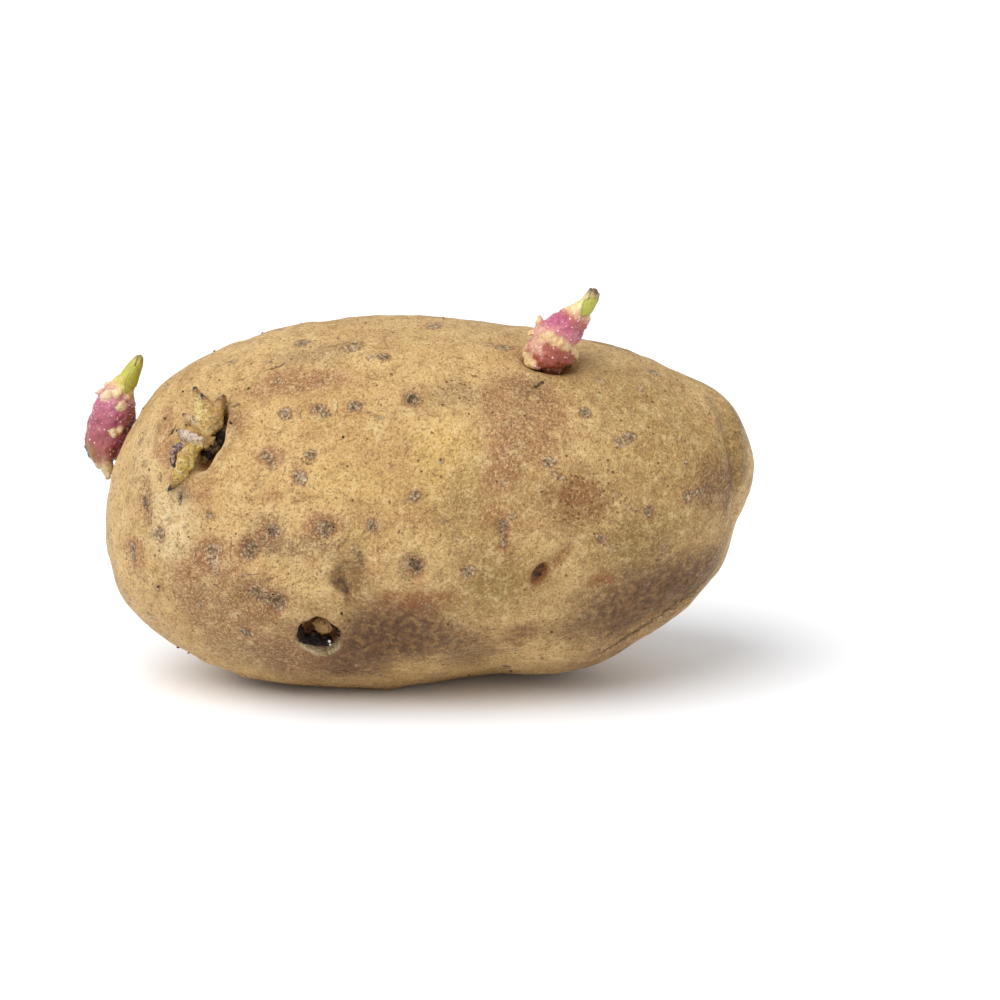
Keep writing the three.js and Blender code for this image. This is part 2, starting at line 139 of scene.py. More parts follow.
# Craters are shallow scars with a raised rim.
CRATERS = (
    dict(depth=1.3, along=-28.6, around=-14, long=3.0, wide=3.0),
    dict(depth=1.1, along=-24.3, around=-16.5, long=2.6, wide=2.6),
    dict(depth=1.0, along=-28.6, around=1.9, long=2.4, wide=3.0),
    dict(depth=0.6, along=-34.9, around=1.2, long=2.8, wide=2.6),
    dict(depth=0.7, along=-2.3, around=46.4, long=2.0, wide=2.0),
    dict(depth=1.0, along=-1.8, around=-6, long=2.4, wide=2.8),
    dict(depth=0.9, along=-16.3, around=7, long=2.6, wide=2.2),
    dict(depth=0.6, along=12.4, around=1.5, long=1.6, wide=3.6),
    dict(depth=0.6, along=-46.3, around=20, long=1.8, wide=4.0),
)
CRATER_RIM_AT, CRATER_RIM_WIDE, CRATER_RIM_HIGH, CRATER_STEEPNESS = 1.1, 0.3, 0.35, 2.0

# Corky spots that the front shows: along, around, half long, half wide, turn, darkness from 0 to 1.
SPOTS = (
    (-2.3, 46.4, 1.1, 1.2, 0, 1.0),
    (-1.8, 15.8, 0.9, 0.8, 0, 0.9),
    (-20.3, 23.0, 1.0, 1.3, 10, 0.6),
    (12.4, 4.5, 0.8, 1.0, 0, 0.5),
    (12.4, -1.2, 0.7, 1.1, 0, 0.6),
    (-1.8, -6.0, 1.1, 1.5, 20, 0.5),
    (-27.4, -13.6, 1.8, 1.5, 0, 0.4),
    (-24.3, -16.5, 1.4, 1.6, 0, 0.45),
    (-28.6, 1.9, 1.3, 1.6, -20, 0.55),
    (-24.9, 7.6, 1.2, 1.0, 0, 0.7),
    (-16.3, 7.3, 1.5, 1.2, 10, 0.5),
    (-34.9, 1.2, 1.6, 1.5, 0, 0.35),
    (-43.7, 7.1, 0.8, 1.4, 0, 0.5),
    (-46.3, 21.0, 0.5, 1.6, 10, 0.6),
    (-48.9, -3.0, 0.6, 1.7, 5, 0.5),
    (-20.5, 73.5, 1.2, 0.9, 0, 0.5),
    (-12.5, 67.8, 1.4, 0.8, 0, 0.4),
    (0.7, 83.0, 1.2, 1.0, 0, 0.45),
    (-22.8, 43.6, 1.0, 1.0, 0, 0.5),
    (-17.5, 44.1, 1.2, 0.8, 15, 0.55),
    (-11.6, 44.1, 1.1, 0.9, 0, 0.5),
    (-7.1, 62.7, 1.0, 0.8, 0, 0.45),
    (-25.3, 30.2, 0.8, 0.8, 0, 0.6),
    (25.6, 43.1, 1.0, 0.9, 0, 0.5),
    (19.8, 24.1, 1.1, 0.8, 0, 0.5),
    (36.0, 0.9, 0.9, 1.0, 0, 0.55),
    (6.7, -9.4, 1.2, 0.9, 30, 0.6),
    (42.4, 4.0, 0.8, 1.1, 0, 0.5),
    (-29.6, -30.2, 1.2, 1.1, 0, 0.5),
    (-18.7, 29.7, 0.8, 0.7, 0, 0.6),
    (-8.7, 7.8, 0.9, 0.9, 0, 0.5),
    (33.0, 33.8, 1.0, 0.8, 0, 0.5),
    (37.6, 75.3, 1.1, 0.8, 0, 0.5),
    (12.7, 71.2, 1.3, 0.7, 10, 0.5),
)

# Thin dark cracks and nicks that the front shows: along, around, half long, half wide, turn, darkness.
NICKS = (
    (18.3, 54.0, 1.5, 0.28, 38, 0.9),
    (-24.2, 62.5, 1.4, 0.22, 20, 0.7),
    (-30.0, 62.0, 2.6, 0.2, 8, 0.35),
    (-14.0, 70.0, 3.0, 0.2, 2, 0.35),
    (-41.4, 47.0, 0.9, 0.25, 50, 0.9),
    (-40.2, 20.0, 0.35, 1.2, -10, 0.9),
    (-43.4, 30.0, 0.3, 0.9, 10, 0.5),
    (-31.0, 50.0, 0.8, 0.3, 20, 0.6),
    (33.5, -57.5, 6.5, 0.32, 6, 0.65),
    (44.5, -53.5, 5.5, 0.3, 14, 0.6),
    (40.0, -62.0, 6.0, 0.3, 8, 0.45),
    (51.0, -30.0, 3.5, 0.3, 60, 0.4),
    (-10.6, -2.0, 0.4, 1.3, 20, 0.5),
    (30.0, -47.0, 1.2, 0.25, 20, 0.7),
)
SCATTERED_NICKS = 9
NICK_DEPTH, SPOT_RIM, SPOT_DENT = 0.22, 0.12, 0.28

# Stained patches: along, around, half long, half wide, turn, and how much of which stains. Russet is rough,
# netted cork, and pepper is a strewing of small dark dots.
STAINS = ("brown", "pink", "dark", "olive", "yellow", "grey", "rust", "russet", "pepper", "pale")
PATCHES = (
    (-34.7, -18, 7.6, 9.2, 0, dict(pink=0.6, brown=0.2, russet=0.8)),
    (-21.1, -40, 7.6, 8.5, 0, dict(brown=0.4, pink=0.3, grey=0.2, russet=0.8)),
    (-29.3, -43, 7.6, 5.1, 0, dict(grey=0.4, russet=0.5)),
    (-25.6, 7, 3.4, 2.8, 0, dict(grey=0.6, pink=0.3, russet=0.9)),
    (-16.3, 7, 3.3, 2.8, 0, dict(pink=0.7, russet=0.8)),
    (-20.3, 2, 6.0, 1.8, 0, dict(grey=0.5, russet=0.8)),
    (-25.8, -15, 4.4, 3.7, 0, dict(grey=0.35, pink=0.25, russet=0.6)),
    (-12.1, -8, 2.2, 4.6, 0, dict(brown=0.6, dark=0.3, russet=0.6)),
    (-2.4, -17, 7.8, 2.5, 0, dict(rust=0.8, brown=0.3)),
    (-4.5, -29, 9.5, 6.5, 0, dict(brown=1.0, dark=0.55, russet=1.0)),
    (-12.5, -43, 5.6, 6.0, 0, dict(brown=0.9, dark=0.35, russet=0.9)),
    (7.0, -42, 5.1, 7.5, 0, dict(brown=0.6, dark=0.2, russet=0.8)),
    (-11.3, 1, 2.2, 2.7, 0, dict(olive=0.3, yellow=0.4)),
    (23.9, 10, 6.2, 4.2, 0, dict(pepper=1.0, brown=0.55, rust=0.5, olive=0.4)),
    (15.4, 42, 7.2, 7.6, 0, dict(pink=0.55, brown=0.15, russet=0.8)),
    (17.1, 53, 3.6, 2.6, 0, dict(grey=0.5, russet=0.4)),
    (12.2, 23, 3.2, 4.6, 0, dict(pink=0.4, russet=0.5)),
    (35.7, -37, 14.5, 8.0, 0, dict(brown=1.0, dark=0.45, russet=0.7)),
    (47.2, 6, 5.0, 5.0, 0, dict(brown=0.6, rust=0.15, russet=0.7, pepper=0.2)),
    (28.2, -20, 2.0, 2.0, 0, dict(rust=1.0)),
    (15.0, -34, 2.9, 3.0, 0, dict(rust=0.5, brown=0.5, dark=0.3)),
    (-42.0, 9, 5.5, 5.6, 0, dict(pale=0.8)),
    (-46.0, 40, 5.0, 8.0, 0, dict(pale=0.35)),
    (2.1, 29, 5.7, 5.7, 0, dict(yellow=0.7)),
    (-13.9, 21, 8.1, 3.6, 0, dict(yellow=0.4)),
    (11.5, -14, 7.6, 6.1, 0, dict(olive=0.9)),
    (32.7, -10, 10.0, 5.5, 0, dict(olive=0.8)),
    (6.8, 7, 6.0, 6.5, 0, dict(olive=0.4)),
    (24.0, -36, 8.0, 4.0, 0, dict(olive=0.4)),
    (40.0, 30, 14.0, 14.0, 0, dict(olive=0.45)),
    (12.0, 14, 12.0, 6.0, 0, dict(olive=0.3, rust=0.1)),
    (30.0, 55, 12.0, 8.0, 0, dict(olive=0.2)),
    (-13.9, -9, 1.0, 4.4, 6, dict(brown=0.7, dark=0.5)),
    (50.0, 28, 0.9, 9.0, 12, dict(brown=0.45, dark=0.1)),
    (-23.5, -32, 2.2, 6.4, 0, dict(olive=0.6)),
    (-17.7, -17, 3.3, 1.5, 0, dict(olive=0.4)),
    (-12.4, -32, 1.6, 5.0, 0, dict(olive=0.3)),
    (22.6, -7, 4.0, 0.9, 52, dict(rust=0.7)),
    (-20.6, 55, 8.9, 2.6, 0, dict(rust=0.2, pink=0.45, russet=0.5)),
    (4.5, 49, 4.5, 2.8, 0, dict(brown=0.5, pepper=0.6, russet=0.4)),
    (-46.1, 21, 1.5, 3.4, 0, dict(pink=0.5, grey=0.3, russet=0.8)),
    (-48.9, -3, 3.0, 2.6, 0, dict(pink=0.9, russet=0.6)),
    (-36.0, 0, 2.4, 2.1, 0, dict(pink=0.8, russet=0.8)),
    (-28.8, 2, 1.7, 2.1, 0, dict(grey=0.4, pink=0.4, russet=0.8)),
    (-25.2, 30, 3.0, 2.1, 0, dict(pink=0.7, russet=0.4)),
    (-25.2, 18, 1.5, 2.1, 0, dict(rust=0.5)),
    (-42.4, 46, 1.8, 6.4, 0, dict(pink=0.5, russet=0.3)),
    (28.2, -64, 10.5, 4.8, 0, dict(brown=0.4, pink=0.2)),
    (11.8, 3, 1.3, 3.6, 0, dict(rust=0.5, grey=0.2)),
    (-8.4, 7, 2.1, 1.6, 0, dict(pink=0.6, grey=0.3, russet=0.5)),
    (-1.8, -6, 2.3, 2.1, 0, dict(grey=0.7, russet=0.8)),
    (-2.3, 46, 2.1, 2.3, 0, dict(rust=0.3, grey=0.3)),
    (-2.0, 16, 1.4, 1.3, 0, dict(grey=0.6, pink=0.2)),
    (45.0, -44, 7.6, 4.0, 0, dict(grey=0.3, brown=0.3, russet=0.4)),
    (-31.7, 45, 2.5, 2.6, 0, dict(pink=0.4, grey=0.4)),
    (-37.0, 22, 2.2, 4.2, 0, dict(rust=0.5, pink=0.2)),
    (-40.0, 21, 1.8, 1.9, 0, dict(grey=0.9, dark=0.2)),
    (52.0, 30, 3.2, 9.0, 0, dict(olive=0.7, brown=0.3)),
    (-18.3, 67, 6.9, 2.7, 0, dict(brown=0.15, grey=0.35, russet=0.3)),
    (-10, 120, 16, 10, 0, dict(yellow=0.5, brown=0.1)),
    (20, 165, 14, 9, 15, dict(brown=0.6, dark=0.15, russet=0.8)),
    (-30, 165, 9, 9, 0, dict(pink=0.5, russet=0.7)),
    (0, 205, 16, 8, 0, dict(olive=0.5, brown=0.2)),
    (40, 145, 7, 6, 0, dict(yellow=0.4, pepper=0.5)),
    (-46, 160, 5, 9, 0, dict(grey=0.4, russet=0.5)),
    (6, 150, 5, 4, 0, dict(rust=0.5, pepper=0.4)),
    (-14, 185, 8, 5, -20, dict(brown=0.5, russet=0.8, grey=0.2)),
    (-25, 110, 7, 4, 10, dict(pink=0.4, russet=0.5)),
    (30, 105, 8, 5, -10, dict(brown=0.3, russet=0.6)),
)

# The fresh sprouts. spine, root, neck, collar, spur and bud hold points from the skin at the eye, stem and
# leaf_radii the radii along them from the root up. A root nub is how far up the stem, the turn round it,
# where -90 faces the front, how far out from its skin, and its radius, and cream numbers the cream ones.
# back_rings hold how far up, how many and how large. tilt slants the bands of colour, washes hold the middle,
# size, colour and strength of three patches of colour, and leaf is the front leaf, its pointing in the skin.
CROWN_SPROUT = dict(
    name="crown_sprout",
    eye=CROWN_EYE,
    root=((0.0, 0.3, -1.6), (0.5, -0.6, 1.4), 2.6),
    spine=(
        (0.2, -0.4, -1.2), (0.5, -0.7, 1.9), (1.2, -0.75, 4.1),
        (2.8, -0.8, 5.8), (4.0, -0.9, 7.1), (4.9, -0.95, 8.2),
    ),
    stem=(3.0, 3.75, 3.75, 3.3, 2.8, 2.1),
    collar=((-0.1, 0.7, 0.4), 3.5, 1.2),
    neck=(
        ((2.6, -0.8, 5.3), (4.3, -0.92, 7.5), (5.6, -1.0, 9.2), (6.5, -1.05, 10.4)),
        (2.4, 2.55, 1.95, 1.2),
    ),
    front_nubs=(
        (0.53, 178, 0.35, 0.85),
        (0.56, 172, 1.1, 0.4),
        (0.43, -178, 0.45, 0.9),
        (0.4, 178, 1.3, 0.4),
        (0.26, 180, 0.2, 1.05),
        (0.2, -172, 0.2, 1.15),
        (0.14, -163, 0.3, 1.2),
        (0.12, -152, 0.4, 1.15),
        (0.12, -138, 0.3, 1.05),
        (0.34, -136, -0.25, 1.05),
        (0.46, -128, -0.3, 1.0),
        (0.51, -112, -0.5, 1.2),
        (0.5, -96, -0.4, 1.15),
        (0.53, -80, -0.45, 1.2),
        (0.52, -64, -0.3, 1.1),
        (0.53, -48, -0.3, 0.95),
        (0.48, -24, 0.0, 0.95),
        (0.33, -12, 0.2, 0.85),
        (0.26, -8, 0.45, 0.6),
        (0.24, -34, 0.0, 1.0),
        (0.22, -58, -0.1, 0.85),
        (0.2, -84, -0.2, 0.9),
        (0.19, -112, -0.1, 1.0),
        (0.26, -76, -0.35, 1.1),
        (0.3, -102, -0.35, 1.0),
        (0.27, -52, -0.3, 1.0),
        (0.72, -26, -0.05, 0.5),
    ),
    cream=(0, 1, 2, 3, 4, 5, 6, 7, 8, 10, 11, 12, 13, 14, 15, 16, 17, 18),
    back_rings=((0.1, 6, 1.15), (0.28, 5, 1.0), (0.5, 5, 0.95)),
    bud=((4.2, -0.9, 7.3), (5.6, -1.0, 9.0), (6.9, -1.1, 10.6), (7.7, -1.1, 12.4)),
    leaf_radii=(1.5, 1.45, 1.25, 1.15, 0.75),
    tilt=0.018,
    washes=(
        ((-2.0, -2.8, 4.2), (1.8, 3.0, 3.4), "#d8a88e", 0.72),
        ((0.3, -3.0, 7.8), (2.3, 2.8, 1.6), "#b8557c", 0.62),
        ((5.4, -2.0, 7.4), (1.5, 3.0, 2.2), "#a2624c", 0.55),
    ),
    leaf=dict(centre=(6.57, -2.6, 9.6), pointing=(0.65, 0.0, 0.76), long=1.95, wide=1.15, inside="#a6a933"),
    seed=7,
)
END_SPROUT = dict(
    name="end_sprout",
    eye=END_EYE,
    root=((1.6, 1.0, -0.9), (-3.6, 0.4, 0.1), 2.3),
    spine=(
        (-4.4, 0.0, -3.6), (-4.4, 0.0, -1.5), (-3.95, 0.0, 0.7), (-2.95, 0.0, 3.7),
        (-1.9, 0.0, 7.5), (-1.0, 0.0, 9.5), (0.0, 0.0, 11.2),
    ),
    stem=(2.1, 2.9, 3.4, 3.7, 3.7, 2.9, 1.6),
    neck=(
        ((-1.7, 0.0, 8.1), (-0.7, 0.0, 10.0), (0.4, 0.0, 11.7), (1.0, 0.0, 12.9)),
        (2.6, 2.3, 1.65, 1.1),
    ),
    collar=((-4.4, 0.2, -2.0), 2.0, 1.2),
    front_nubs=(
        (0.79, 180, 0.1, 0.95),
        (0.76, 178, 0.85, 0.45),
        (0.78, -142, -0.3, 1.1),
        (0.8, -124, -0.4, 1.3),
        (0.86, -102, -0.35, 1.15),
        (0.78, -92, -0.4, 1.1),
        (0.77, -72, -0.25, 1.15),
        (0.86, -62, -0.35, 0.95),
        (0.8, -40, -0.4, 0.9),
        (0.475, -76, -0.15, 0.9),
        (0.505, -58, -0.3, 1.0),
        (0.45, -72, 0.1, 0.65),
        (0.2, -172, -0.1, 0.6),
    ),
    cream=(0, 1, 2, 3, 4, 6, 9, 10, 11),
    spur=(
        ((-3.8, -1.2, -2.0), (-3.5, -1.5, -3.5), (-3.5, -1.6, -4.7), (-3.7, -1.6, -5.6)),
        (1.3, 1.15, 0.8, 0.35),
    ),
    back_rings=((0.1, 3, 0.95), (0.5, 3, 0.9), (0.82, 4, 1.0)),
    bud=((-0.3, 0.0, 10.4), (0.8, 0.0, 12.7), (1.9, 0.0, 14.6), (2.6, 0.0, 15.9)),
    leaf_radii=(1.55, 1.5, 1.25, 0.95, 0.4),
    tilt=0.0,
    washes=(
        ((-6.4, -1.6, -0.9), (1.6, 2.2, 2.4), "#8e6636", 0.7),
        ((-7.6, -1.0, -1.3), (1.2, 2.0, 2.1), "#25160b", 0.9),
        # Painted shade: this brown wash lies on the stem's right side, which faces the tuber.
        ((0.7, -1.5, 4.6), (1.9, 3.2, 3.6), "#74421f", 0.6),
    ),
    leaf=dict(centre=(1.0, -1.5, 11.6), pointing=(0.44, 0.0, 0.9), long=2.3, wide=0.95, inside="#b0a63e"),
    seed=23,
)

# Each fused skin: its voxel in millimetres, and how many times it is smoothed.
STEM_SKIN = (0.12, 6)
BUD_SKIN = (0.07, 2)
LOBE_SKIN = (0.09, 2)
PLATE_SKIN = (0.08, 1)
DEAD_SKIN = (0.08, 1)

# Hairs on each stem.
HAIRS = 420
HAIR_RADIUS = 0.035
HAIR_LENGTHS = (0.35, 0.85)
HAIR_LEAN = 0.35

# How high the front leaf stands on the stem and on the bud.
STEM_LEAF_HIGH, BUD_LEAF_HIGH = 0.15, 0.12

# The withered sprouts. A lobe is its path, as places on the skin with a height over it, how fat it is and how
# that changes along it, and how pale, how tan and how scabbed it is.
STOUT = (0.8, 1.0, 0.85, 0.7, 0.25)
POINTED = (0.9, 1.0, 0.9, 0.6, 0.15)
WITHERED_UPPER = (
    dict(
        path=((-35.6, 41, -0.6), (-35.6, 46, 1.5), (-36.1, 52.5, 2.2), (-37.1, 60.0, 2.5)),
        fat=1.4, profile=(1.1, 1.1, 0.85, 0.6, 0.3), pale=0.35, tan=0.0,
    ),
    dict(
        path=((-34.7, 42.6, -0.5), (-33.9, 46, 1.1), (-33.3, 49.5, 1.6), (-32.6, 53.5, 1.6)),
        fat=1.2, profile=STOUT, pale=0.1, tan=0.85,
    ),
    dict(
        path=((-36.2, 41, -0.4), (-37.2, 45.5, 1.5), (-38.3, 49, 1.7), (-39.3, 51.6, 1.6)),
        fat=0.75, profile=STOUT, pale=0.5, tan=0.5,
    ),
    dict(
        path=((-35.2, 42, 0.4), (-34.9, 47, 2.0), (-35.0, 51, 2.2), (-35.5, 55, 2.1)),
        fat=0.95, profile=POINTED, pale=0.2, tan=0.6,
    ),
    dict(
        path=((-36.5, 40.6, 0.0), (-37.7, 43.2, 1.5), (-38.9, 46.6, 1.5)),
        fat=0.55, profile=STOUT, pale=0.0, tan=0.9,
    ),
)
WITHERED_LOWER = (
    dict(
        path=(
            (-36.6, 38.6, -0.8), (-37.3, 37.0, 0.9), (-38.2, 34.4, 1.6),
            (-38.7, 30.8, 1.8), (-39.7, 27.8, 1.3), (-42.3, 23.3, 0.5),
        ),
        fat=1.3, profile=(0.6, 0.75, 0.95, 1.0, 0.8, 0.35, 0.15), pale=0.12, tan=0.4,
    ),
    dict(
        path=((-36.4, 38.8, -0.6), (-37.4, 39.8, 0.9), (-38.8, 42.4, 1.5), (-40.6, 46.6, 1.4)),
        fat=1.0, profile=STOUT, pale=0.9, tan=0.35,
    ),
    dict(
        path=((-37.4, 38.0, 0.0), (-39.8, 38.6, 0.9), (-40.8, 35.6, 1.0), (-40.7, 31.6, 0.8)),
        fat=0.95, profile=(0.9, 1.0, 1.0, 0.7, 0.3), pale=0.0, tan=0.9, scab=1.0,
    ),
)
LOBE_FLATNESS = 0.72
LOBE_RIDGES, LOBE_RIDGE_DEPTH = 4, 0.1

# Dry plates and crumbs of tissue in the withered eye, and two small pale tan crumbs that are painted
# highlights: along, around, lift, radius, thickness, how tan.
EYE_PLATES = (
    (-35.9, 39.9, 0.0, 1.2, 0.4, 0.8),
    (-36.9, 39.3, 0.1, 0.8, 0.35, 0.6),
    # The next two rows are the painted highlights.
    (-35.2, 38.4, -0.2, 0.35, 0.3, 1.0),
    (-36.2, 37.5, -0.2, 0.4, 0.3, 1.0),
    (-36.3, 35.8, -1.0, 1.1, 0.5, 0.0),
    (-35.0, 36.8, -1.0, 0.8, 0.4, 0.45),
    (-34.3, 39.2, -0.9, 0.8, 0.5, 0.0),
    (-33.8, 41.2, -0.8, 0.8, 0.5, 0.05),
    (-35.0, 42.0, -0.4, 0.7, 0.4, 0.1),
    (-36.8, 43.0, -0.2, 0.9, 0.4, 0.12),
    (-33.4, 43.0, -0.6, 0.6, 0.4, 0.45),
    (-37.0, 33.0, -1.2, 0.6, 0.3, 0.5),
)

# Crumbs of soil stuck to the skin: along and around of those that stand out, and how many more are strewn.
CRUMBS = (
    (-27.8, 100), (-36.2, 97), (-45.2, 83.5), (-47.7, 85), (-49.8, 87), (-21.5, 99), (-42.5, -69),
    (-40.5, -69), (-40.2, 66.3), (-43.0, 54.7), (-32.5, 47.0), (-31.7, 43.1), (-29.4, 56.2), (-31.7, 28.2),
    (-13.9, -20.2), (-12.7, -23.0), (-13.6, -25.9), (-45.6, 34.9), (-45.5, -19.2), (-44.5, -18.9),
)
STREWN_CRUMBS = 26
CRUMB_RADII = (0.1, 0.24)

# The dead bud: a curled strip along the rim of its pit, and a stub in the middle of it.
DEAD_STRIP = (
    (-20.7, -23.2, 0.0), (-20.8, -27.3, -0.1), (-20.5, -31.4, -0.3),
    (-19.2, -33.0, -0.7), (-17.5, -33.8, -0.9), (-15.7, -33.6, -1.0),
)
DEAD_STRIP_RADII = (0.3, 0.5, 0.6, 0.85, 1.05, 0.65)
DEAD_STUB = dict(place=(-17.4, -29.0, -2.1), radius=1.7, length=1.1)

# Clots of black tissue in that pit, and two near-white specks that are painted glints: along, around, lift,
# radius, how pale, 1 for a glint.
DEAD_CLOTS = (
    (-15.3, -26.2, -0.9, 0.6, 0.0),
    (-14.8, -28.4, -0.9, 0.45, 0.0),
    (-14.7, -31.0, -0.8, 0.4, 0.0),
    (-19.0, -31.4, -0.9, 0.7, 0.0),
    (-16.1, -32.6, -0.1, 0.26, 1.0),
    (-16.0, -34.2, -0.1, 0.2, 1.0),
)

# The camera looks along +Y and a little down, at a point given from the middle of the tuber's length.
CAMERA_ELEVATION = 14.0
CAMERA_DISTANCE = 600.0
LOOK_AT = (11.85, 0.0, 30.96)
VIEW_WIDTH = 169.23
SENSOR_WIDTH = 36.0

# The sockets of a colour mix node by number, as several share a name, and the two kinds of texture.
MIX_FACTOR, MIX_A, MIX_B, MIX_RESULT = 0, 6, 7, 2
NOISE, CELLS = "ShaderNodeTexNoise", "ShaderNodeTexVoronoi"


# Numbers and noise


def at_length(sizes, t):
    """A size at t: a polynomial whose factors are sizes."""
    return sum(size * t**power for power, size in enumerate(sizes))


def bell(x, wide=1.0):
    """1 at 0, falling to nothing on both sides as e to the power of minus x over wide, squared."""
    return np.exp(-((x / wide) ** 2))


def smoothstep(x, low, high):
    x = np.clip((x - low) / (high - low), 0, 1)
    return x * x * (3 - 2 * x)


def unit(vectors):
    return vectors / np.linalg.norm(vectors, axis=-1, keepdims=True)


# The plain body, and places on it


def body(direction):
    """The plain tuber: an ellipsoid whose half sizes are polynomials of t, the direction's share of X, with
    its ends made blunter by an exponent over 2. Gives the points and outward normals for unit directions."""
    t = direction[:, 0]
    blunt = at_length(BLUNTNESS, t)
    round_part = np.maximum(1 - t * t, 1e-9)
    fullness = np.sqrt(np.where(1 - t * t > 1e-9, (1 - np.abs(t) ** blunt) / round_part, blunt / 2))
    depth = at_length(HALF_DEPTH, t)
    height = np.where(direction[:, 2] > 0, at_length(RISE, t), at_length(DROP, t))
    points = np.stack(
        [
            HALF_LENGTH * t,
            depth * fullness * direction[:, 1],
            at_length(CENTRE_HEIGHT, t) + height * fullness * direction[:, 2],
        ],
        axis=-1,
    )
    slopes = [t * fullness / HALF_LENGTH, direction[:, 1] / depth, direction[:, 2] / height]
    return points, unit(np.stack(slopes, axis=-1))


def direction_to(along, around):
    """The unit direction whose point of the plain body lies at a place on the skin."""
    t = along / HALF_LENGTH
    ring = math.sqrt(max(1 - t * t, 0))
    angle = math.radians(around)
    return np.array([[t, -ring * math.cos(angle), ring * math.sin(angle)]])


def normal_at(along, around):
    return body(direction_to(along, around))[1][0]


def place_on_skin(along, around, lift=0.0):
    """A point of the plain body, or lift millimetres over it."""
    points, normals = body(direction_to(along, around))
    return points[0] + lift * normals[0]


def reach_of(points, feature):
    """The distance of each point from a feature, 1 at the feature's own edge, and the two shares of it along
    the feature's long and wide axes, which lie in the skin and are turned from the length by turn."""
    centre, normal = body(direction_to(feature["along"], feature["around"]))
    centre, normal = centre[0], normal[0]
    lengthwise = unit(np.array([1.0, 0, 0]) - normal[0] * normal)
    crosswise = np.cross(normal, lengthwise)
    turn = math.radians(feature.get("turn", 0))
    long_axis = math.cos(turn) * lengthwise + math.sin(turn) * crosswise
    wide_axis = math.cos(turn) * crosswise - math.sin(turn) * lengthwise
    offset = points - centre
    u = offset @ long_axis / feature["long"]
    v = offset @ wide_axis / feature["wide"]
    w = offset @ normal / max(feature["long"], feature["wide"])
    return np.sqrt(u * u + v * v + OFF_PLANE_WEIGHT * w * w), u, v


def lattice_noise(points, size, seed):
    """Smooth noise from -1 to 1: random values on a cubic lattice of the given size in millimetres, blended
    between the eight nearest lattice points by a smoothstep along each axis. The lattice repeats."""
    repeat = 64
    values = np.random.default_rng(seed).uniform(-1, 1, (repeat, repeat, repeat))
    scaled = points / size
    low = np.floor(scaled).astype(int)
    share = scaled - low
    share = share * share * (3 - 2 * share)
    total = np.zeros(len(points))
    for corner in np.ndindex(2, 2, 2):
        index = (low + corner) % repeat
        weight = np.prod(np.where(corner, share, 1 - share), axis=1)
        total += weight * values[index[:, 0], index[:, 1], index[:, 2]]
    return total


def relief(points, layers):
    """The sum of noises given as rows of height, size and seed."""
    return sum(high * lattice_noise(points, size, seed) for high, size, seed in layers)


def jittered(points, reach, size, seeds):
    """Points moved about by up to reach millimetres, with a noise for each axis."""
    return points + reach * np.stack([lattice_noise(points, size, seed) for seed in seeds], axis=-1)


# The tuber


def box_sphere(counts):
    """Unit directions and quads of a sphere made from a box of counts cells: each face's square is spread by
    the tangent of an eighth turn, so that the cells come out near equal, and its seams share points."""
    corners, quads = [], []
    start = 0
    for axis in range(3):
        first, second = (axis + 1) % 3, (axis + 2) % 3
        for side in (-1, 1):
            i, j = np.meshgrid(np.arange(counts[first] + 1), np.arange(counts[second] + 1), indexing="ij")
            lattice = np.zeros((i.size, 3), int)
            lattice[:, axis] = counts[axis] if side > 0 else 0
            lattice[:, first] = i.ravel()
            lattice[:, second] = j.ravel()
            number = start + np.arange(i.size).reshape(i.shape)
            quad = np.stack([number[:-1, :-1], number[1:, :-1], number[1:, 1:], number[:-1, 1:]], axis=-1)
            quads.append(quad.reshape(-1, 4)[:, ::side])
            corners.append(lattice)
            start += i.size
    lattice, index = np.unique(np.concatenate(corners), axis=0, return_inverse=True)
    quads = index.ravel()[np.concatenate(quads)]
    square = 2 * lattice / np.array(counts) - 1
    return unit(np.tan(square * math.pi / 4)), quads


def crowd(directions):
    """Pulls directions towards each eye, most near its middle, so that its socket gets smaller cells."""
    for eye in EYES:
        towards = direction_to(eye["along"], eye["around"])[0]
        reach = CROWDING_REACH * eye["long"] / math.sqrt(HALF_LENGTH * HALF_DEPTH[0])
        cosine = np.clip(directions @ towards, -1, 1)
        angle = np.arccos(cosine)
        near = (angle < reach) & (angle > 1e-6)
        moved = angle[near] * (1 - CROWDING_PULL * (1 - angle[near] / reach) ** 2)
        aside = unit(directions[near] - cosine[near, None] * towards)
        directions[near] = np.cos(moved)[:, None] * towards + np.sin(moved)[:, None] * aside
    return directions


def marks(rows):
    keys = ("along", "around", "long", "wide", "turn", "dark")
    return [dict(zip(keys, row)) for row in rows]


def scattered(count, rng, long_range, wide_range, dark_range):
    """Marks strewn evenly over the tuber, each with its own size, turn and darkness."""
    return [
        dict(
            along=HALF_LENGTH * rng.uniform(-0.97, 0.97),
            around=rng.uniform(-180, 180),
            long=rng.uniform(*long_range),
            wide=rng.uniform(*wide_range),
            turn=rng.uniform(-30, 30),
            dark=rng.uniform(*dark_range),
        )
        for _ in range(count)
    ]


def nearest_mark(points, features):
    """For each point, its place in the half sizes of the mark that it is nearest to, and that mark's
    darkness, which fades to nothing away from it so that no line shows where the nearest mark changes."""
    nearest = np.full(len(points), 9.0)
    found = np.tile((9.0, 9.0, 0.0), (len(points), 1))
    for feature in features:
        reach, u, v = reach_of(points, feature)
        closer = reach < nearest
        nearest[closer] = reach[closer]
        found[closer] = np.stack([u, v, np.full(len(u), feature["dark"])], axis=-1)[closer]
    found[:, 2] *= 1 - smoothstep(nearest, 2.2, 3.4)
    return found


def rim_of(points, eye, faces, ragged):
    """How far each point is from the middle of an eye with a ragged edge, and its share on the side that the
    bearing faces, from -1 to 1."""
    reach, u, v = reach_of(points, eye)
    reach = reach + ragged
    bearing = math.radians(faces - eye["turn"])
    return reach, (u * math.cos(bearing) + v * math.sin(bearing)) / np.maximum(reach, SOCKET_FLOOR)


